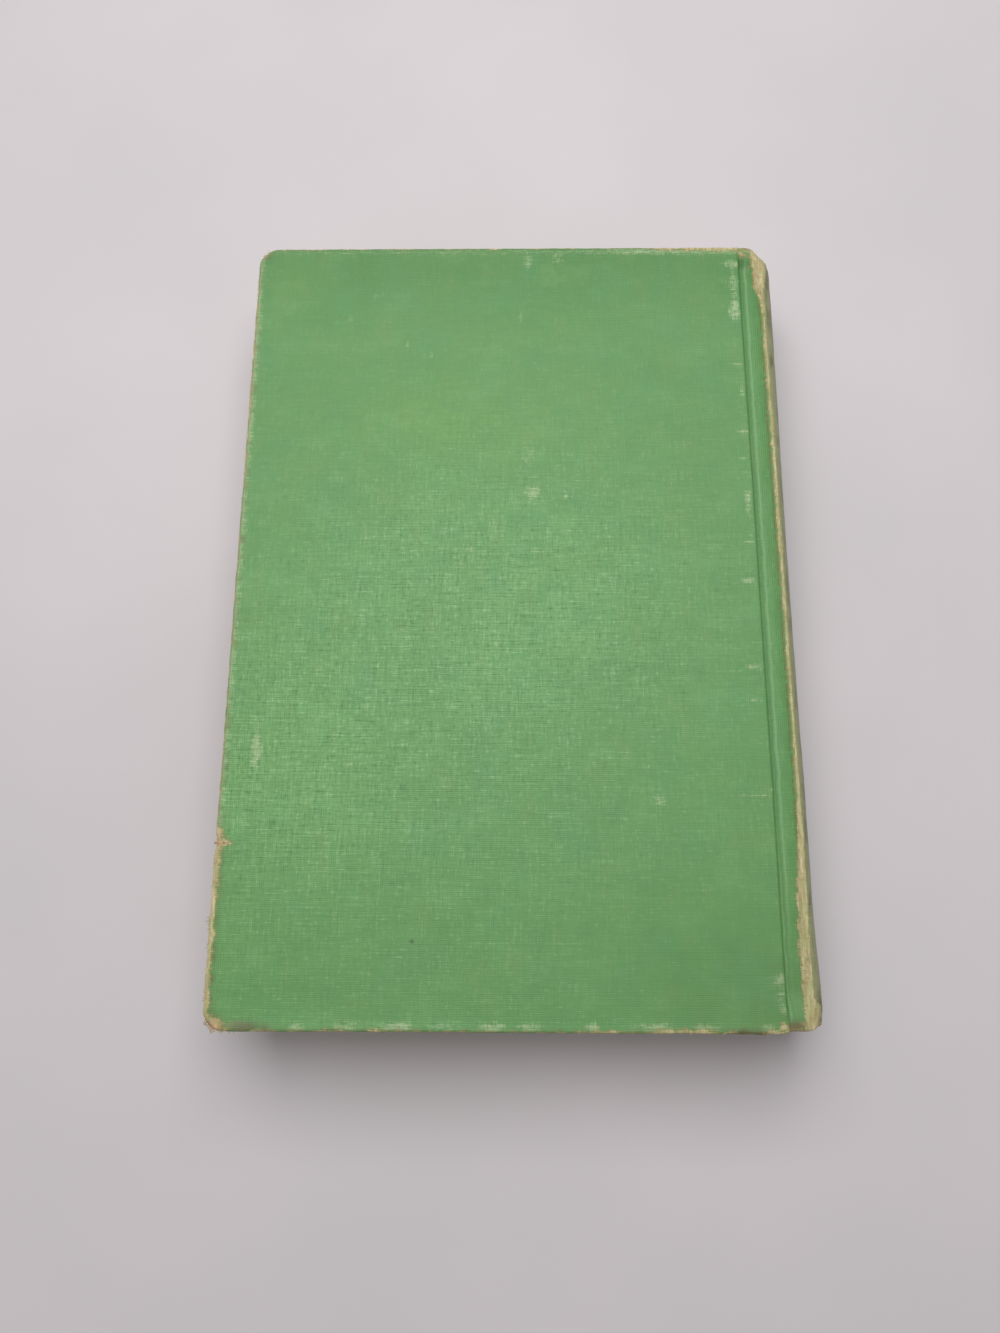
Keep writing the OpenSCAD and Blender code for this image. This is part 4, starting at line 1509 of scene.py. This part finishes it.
def bareness(f):
    """How far the cloth is worn at a point: the worn share plus a swing of the threads."""
    fray = f.total((f.over, 0.65), (f.down, 0.5), (f.long_over, 0.25), (f.fine, 0.35))
    fray = f.sums("MULTIPLY", fray, f.between(f.worn, 0.5, 0.8, 1.0, 0.55))
    return f.sums("MULTIPLY", f.sums("ADD", f.worn, fray), f.between(f.worn, 0.05, 0.22))


def worn_through(f, green, bare):
    """The four colours of wear, one after another as the bareness rises."""
    streak = f.total((f.long_down, 1.2), (f.down, 0.4), (f.fine, 0.35), base=0.5)
    tan = f.mix(f.between(streak, 0.3, 0.75), tint(170, 156, 114), tint(204, 194, 150))
    tan = f.mix(f.between(f.patch, 0.4, 0.65, 0, 0.6), tan, tint(164, 168, 114))
    colour = f.mix(f.between(bare, 0.24, 0.42, 0, 0.85), green, tint(136, 138, 88))
    colour = f.mix(f.between(bare, 0.38, 0.66), colour, tan)
    colour = f.mix(f.between(bare, 0.85, 1.1, 0, 0.8), colour, tint(214, 200, 164))
    return f.mix(f.between(bare, 1.1, 1.3, 0, 0.8), colour, tint(206, 156, 120))


# %% [markdown]
# The last marks are rusty ones on the bare corners, given by a list as the rubs are, small brown spots
# in the bare cloth, the slit of the nick in the fore edge, and grime where the soil is thickest. In the
# hollow at the tail end of the joint that grime is partly painted shade.

# %% Rust, spots and grime
RUSTY = [
    (-71.8, -104.4, 3.6, 2.2, 0.8), (68.6, 96.6, 0.5, 1.1, 0.8), (68.9, 93.8, 0.45, 0.8, 0.7),
    (67.4, 99.6, 0.5, 0.5, 0.6), (69.6, 101.2, 1.0, 0.5, 0.6), (66.8, 102.4, 1.4, 0.4, 0.5),
    (70.4, 98.2, 0.5, 1.6, 0.5), (68.2, -103.2, 1.6, 0.5, 0.6), (71.0, -101.8, 0.8, 1.4, 0.5),
]
NICK_V = -62.0


def last_marks(f, colour, green, bare):
    """Rusty ovals, brown spots, the nick's slit and the grime, each laid over what is there."""
    for oval, share in f.all_spots(RUSTY):
        oval = f.sums("MULTIPLY", oval, f.between(f.fine, 0.4, 0.6, 0.3 * share, share))
        colour = f.mix(oval, colour, tint(172, 128, 90))
    spots = f.noise(f.stretch(f.place, (1, 1, 1), (11, 5, 0)), 0.9, 1.0)
    brown = f.mix(bare, green, tint(176, 138, 90))
    colour = f.mix(f.between(spots, 0.56, 0.66, 0, 0.4), colour, brown)
    slit = f.sums("MULTIPLY", f.band(f.v, NICK_V, 0.35), f.between(f.u, 3.0, 1.5))
    colour = f.mix(f.sums("MULTIPLY", slit, 0.8), colour, tint(124, 98, 62))
    # Grime where the soil is thickest; in the hollow at the joint's tail end it is partly painted shade.
    grime = f.sums("MULTIPLY", f.between(f.soil_and_shade, 0.55, 1.0), f.between(f.fine, 0.3, 0.55, 0.5, 1))
    return f.mix(f.sums("MULTIPLY", grime, 0.7), colour, tint(98, 86, 52))


# %% [markdown]
# All steps together make the cloth. Its relief has two sizes: the single threads, and the soft
# unevenness of the starch under them. Bare cotton is duller than starched cloth, so the roughness
# rises with the bareness.

# %% Book cloth finish
THREAD_RELIEF = 0.000065
STARCH_RELIEF = 0.00006


def book_cloth():
    """The finish of the case cloth and of its frayed threads."""
    f = BookCloth()
    green = soiled_cloth(f, joint_lines(f, rubbed_pale(f, dyed(f))))
    bare = bareness(f)
    colour = last_marks(f, worn_through(f, green, bare), green, bare)
    weave = f.sums("MULTIPLY", f.weft, f.warp)
    weave = f.total((f.over, 0.7), (f.long_over, 0.45), (f.long_down, 0.4), (f.down, 0.55),
                    (f.rib, 0.15), base=weave)
    starch = f.bump(f.sums("ADD", f.patch, f.sums("MULTIPLY", f.fine, 0.6)), STARCH_RELIEF)
    relief = f.bump(weave, THREAD_RELIEF, 0.8, starch)
    rough = f.between(bare, 0.2, 0.6, 0.5, 0.9)
    return f.finish(colour, rough, relief, Specular_IOR_Level=0.4)


cloth_finish = book_cloth()
print("the book cloth has", len(cloth_finish.node_tree.nodes), "nodes")

# %% [markdown]
# ## Old paper
# The edge of the block shows single leaves as hair lines, about a tenth of a millimetre apart,
# which lean lighter or darker. An endpaper shows its pulp, yellows from its edges inward, and gets a few
# brown spots of damp.

# %% Paper finishes


def leaf_edges():
    """Cream, with fine lines along the leaves, broader bands of gatherings, and a faint stain."""
    f = Finish("leaf_edges")
    place = f.attribute("leaf_mm").outputs["Vector"]
    lines = f.noise(f.stretch(place, (0.03, 9.0, 1)), 1.0, 1.0)
    bands = f.noise(f.stretch(place, (0.02, 0.9, 1), (5, 2, 0)), 1.0, 2.0)
    stain = f.noise(place, 0.07, 4.0, 0.6)
    colour = f.mix(f.between(lines, 0.3, 0.7), tint(214, 200, 166), tint(240, 231, 206))
    colour = f.mix(f.between(bands, 0.4, 0.75, 0, 0.5), colour, tint(222, 208, 174))
    colour = f.mix(f.between(stain, 0.52, 0.78, 0, 0.4), colour, tint(186, 164, 122))
    relief = f.bump(lines, 0.00006)
    return f.finish(colour, 0.88, relief, Specular_IOR_Level=0.3)


def endpaper():
    """Cream that darkens near the edges: the smaller distance to two of them, plus a soft cloud."""
    f = Finish("endpaper")
    place = f.attribute("leaf_mm").outputs["Vector"]
    pulp = f.noise(place, 0.9, 4.0, 0.65)
    aged = f.noise(place, 0.03, 3.0, 0.55)
    fox = f.noise(place, 0.35, 2.0, 0.5)
    axes = f.add("ShaderNodeSeparateXYZ", {0: place}).outputs
    from_end = f.sums("SUBTRACT", LEAF_HALF_H, f.sums("ABSOLUTE", axes[1]))
    from_fore = f.sums("SUBTRACT", axes[0], LEAF_FORE_X)
    from_edge = f.sums("ADD", f.sums("MINIMUM", from_end, from_fore), f.sums("MULTIPLY", aged, 14.0))
    colour = f.mix(f.between(aged, 0.3, 0.75), tint(226, 214, 186), tint(219, 205, 173))
    colour = f.mix(f.between(from_edge, 16.0, 5.0, 0, 0.6), colour, tint(203, 183, 142))
    colour = f.mix(f.between(pulp, 0.35, 0.7, 0, 0.3), colour, tint(230, 220, 194))
    colour = f.mix(f.between(fox, 0.70, 0.78, 0, 0.5), colour, tint(176, 137, 86))
    relief = f.bump(pulp, 0.00003)
    return f.finish(colour, 0.85, relief, Specular_IOR_Level=0.3)


# %% [markdown]
# ## Board and kraft paper
# The board is grey-brown pulp with short fibres and dark specks. Brown kraft paper lines the spine
# and serves as its card. Both read the object's own coordinates, in metres, so their scales are
# large numbers.

# %% Board and kraft finishes


def binder_board():
    """Grey-brown pulp with short fibres, and dark specks where a fine noise is high."""
    f = Finish("binder_board")
    place = f.add("ShaderNodeTexCoord", {}).outputs["Object"]
    fibre = f.noise(f.stretch(place, (900, 500, 2500)), 1.0, 4.0, 0.65)
    speck = f.noise(place, 2600, 2.0, 0.5)
    colour = f.mix(f.between(fibre, 0.35, 0.68), tint(150, 122, 92), tint(198, 168, 132))
    colour = f.mix(f.between(speck, 0.66, 0.74), colour, tint(94, 76, 58))
    relief = f.bump(fibre, 0.0001)
    return f.finish(colour, 0.92, relief, Specular_IOR_Level=0.25)


def kraft_paper():
    """Brown paper whose fibres run along the spine, with darker clouds."""
    f = Finish("kraft_paper")
    place = f.add("ShaderNodeTexCoord", {}).outputs["Object"]
    fibre = f.noise(f.stretch(place, (1200, 260, 1200)), 1.0, 4.0, 0.6)
    cloud = f.noise(place, 90, 3.0, 0.55)
    colour = f.mix(f.between(fibre, 0.35, 0.68), tint(141, 108, 72), tint(171, 136, 95))
    colour = f.mix(f.between(cloud, 0.45, 0.75, 0, 0.4), colour, tint(122, 94, 64))
    relief = f.bump(fibre, 0.00005)
    return f.finish(colour, 0.86, relief, Specular_IOR_Level=0.3)


# %% [markdown]
# ## Super and band
# The super is an open cotton weave, soaked with old glue between its threads. The bands are wound
# with silk in two colours, cream and the green of the cloth.

# %% Super and band finishes


def super_weave():
    """Pale threads wherever one of two waves is high, and glue in between."""
    f = Finish("super_weave")
    place = f.attribute("leaf_mm").outputs["Vector"]
    weft = f.wave(place, 0.2, "Y")
    warp = f.wave(place, 0.2, "X")
    thread = f.sums("MAXIMUM", weft, warp)
    blotch = f.noise(place, 0.2, 3.0)
    colour = f.mix(f.between(thread, 0.35, 0.8), tint(150, 128, 92), tint(218, 208, 182))
    colour = f.mix(f.between(blotch, 0.5, 0.8, 0, 0.5), colour, tint(176, 148, 104))
    relief = f.bump(thread, 0.0001)
    return f.finish(colour, 0.9, relief, Specular_IOR_Level=0.25)


def band_silk():
    """Stripes counted in turns of the thread, with strands and a little sheen."""
    f = Finish("band_silk")
    place = f.attribute("thread").outputs["Vector"]
    stripe = f.wave(place, 0.155, "X")
    strand = f.noise(f.stretch(place, (6.0, 1.2, 1)), 1.0, 2.0)
    colour = f.mix(f.between(stripe, 0.46, 0.54), tint(206, 196, 164), tint(86, 122, 78))
    colour = f.mix(f.between(strand, 0.4, 0.7, 0, 0.35), colour, tint(150, 138, 104))
    relief = f.bump(strand, 0.00005)
    return f.finish(colour, 0.6, relief, Sheen_Weight=0.15)


# %% [markdown]
# ## Finishes on their pieces
# Each made piece takes one finish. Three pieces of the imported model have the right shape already,
# so they keep it, and only their plain colour is replaced: both boards and the paper lining.

# %% Finishes on their pieces
edge_finish = leaf_edges()
paper_finish = endpaper()
board_finish = binder_board()
kraft_finish = kraft_paper()
super_finish = super_weave()
silk_finish = band_silk()
finish_of = {
    "back_case_cloth": cloth_finish, "front_case_cloth": cloth_finish, "leaves": edge_finish,
    "spine_card": kraft_finish, "cover_frays": cloth_finish,
}
for cover in cover_names.values():
    finish_of[cover + "_free_leaf"] = paper_finish
    finish_of[cover + "_pasted_leaf"] = paper_finish
    finish_of[cover + "_super"] = super_finish
for name in ("head_band", "tail_band"):
    finish_of[name + "_bead"] = silk_finish
    finish_of[name + "_tape"] = silk_finish
for name, finish in finish_of.items():
    bpy.data.objects[name].data.materials.append(finish)
cad_finish = {
    "back_board": board_finish, "front_board": board_finish,
    "spine_lining": kraft_finish,
}
for name, finish in cad_finish.items():
    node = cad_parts[name]
    node.data.materials.clear()
    node.data.materials.append(finish)
print(len(finish_of), "made pieces and", len(cad_finish), "CAD pieces have their finish")

# %% [markdown]
# ## Floor
# The book lies on a plain pale surface. Far from the book the floor fades into a backdrop of its
# own colour, so no horizon cuts across a view from the side.

# %% Floor
FLOOR_HALF = 1.5
floor_mesh = bpy.data.meshes.new("floor")
floor_corners = [(FLOOR_HALF * x, FLOOR_HALF * y, 0) for x, y in ((-1, -1), (1, -1), (1, 1), (-1, 1))]
floor_mesh.from_pydata(floor_corners, [], [(0, 1, 2, 3)])
floor = bpy.data.objects.new("floor", floor_mesh)
bpy.context.collection.objects.link(floor)


def floor_finish():
    """Pale and matt, with a faint grain, and see-through from 0.5 m away from the book."""
    f = Finish("floor")
    place = f.add("ShaderNodeTexCoord", {}).outputs["Object"]
    grain = f.noise(place, 9.0, 3.0)
    colour = f.mix(f.between(grain, 0.3, 0.7), tint(203, 198, 199), tint(209, 203, 205))
    away = f.add("ShaderNodeVectorMath", {0: place}, operation="LENGTH").outputs["Value"]
    f.put(f.shader.inputs["Alpha"], f.between(away, 0.5, 0.27))
    return f.finish(colour, 0.9, f.bump(grain, 0.0002), Specular_IOR_Level=0.2)


floor_mesh.materials.append(floor_finish())
print("floor is", 2 * FLOOR_HALF, "m wide")

# %% [markdown]
# ## Light
# The daylight in the photograph is soft and falls from above the book's head. The pale world
# fills the shade from all sides, at a strength at which a colour shows about as it is written.
# What the camera sees behind the floor is the backdrop, and not the light.

# %% World
SKY_STRENGTH = 0.43
scene = bpy.context.scene
scene.view_settings.view_transform = "Standard"
world = bpy.data.worlds.new("world")
world.use_nodes = True
tree = world.node_tree
sky = tree.nodes["Background"]
sky.inputs[0].default_value = tint(232, 231, 234)
sky.inputs[1].default_value = SKY_STRENGTH
backdrop = tree.nodes.new("ShaderNodeBackground")
backdrop.inputs[0].default_value = tint(198, 193, 195)
seen = tree.nodes.new("ShaderNodeLightPath").outputs["Is Camera Ray"]
either = tree.nodes.new("ShaderNodeMixShader")
tree.links.new(seen, either.inputs[0])
tree.links.new(sky.outputs[0], either.inputs[1])
tree.links.new(backdrop.outputs[0], either.inputs[2])
tree.links.new(either.outputs[0], tree.nodes["World Output"].inputs[0])
scene.world = world
print("the world's strength is", SKY_STRENGTH)

# %% [markdown]
# One wide lamp gives the light its direction. It stands over the book's head and looks at the
# book. A wide lamp is soft, and its shadow has no hard border, like that of a window.

# %% Window light
WINDOW_PLACE = Vector((-0.03, 0.24, 0.63))
WINDOW_WATTS = 4.0
lamp_data = bpy.data.lights.new("window", "AREA")
lamp_data.shape = "RECTANGLE"
lamp_data.size = 0.6
lamp_data.size_y = 0.55
lamp_data.energy = WINDOW_WATTS
lamp = bpy.data.objects.new("window", lamp_data)
lamp.location = WINDOW_PLACE
lamp.rotation_euler = (-WINDOW_PLACE).to_track_quat("-Z", "Y").to_euler()
bpy.context.collection.objects.link(lamp)
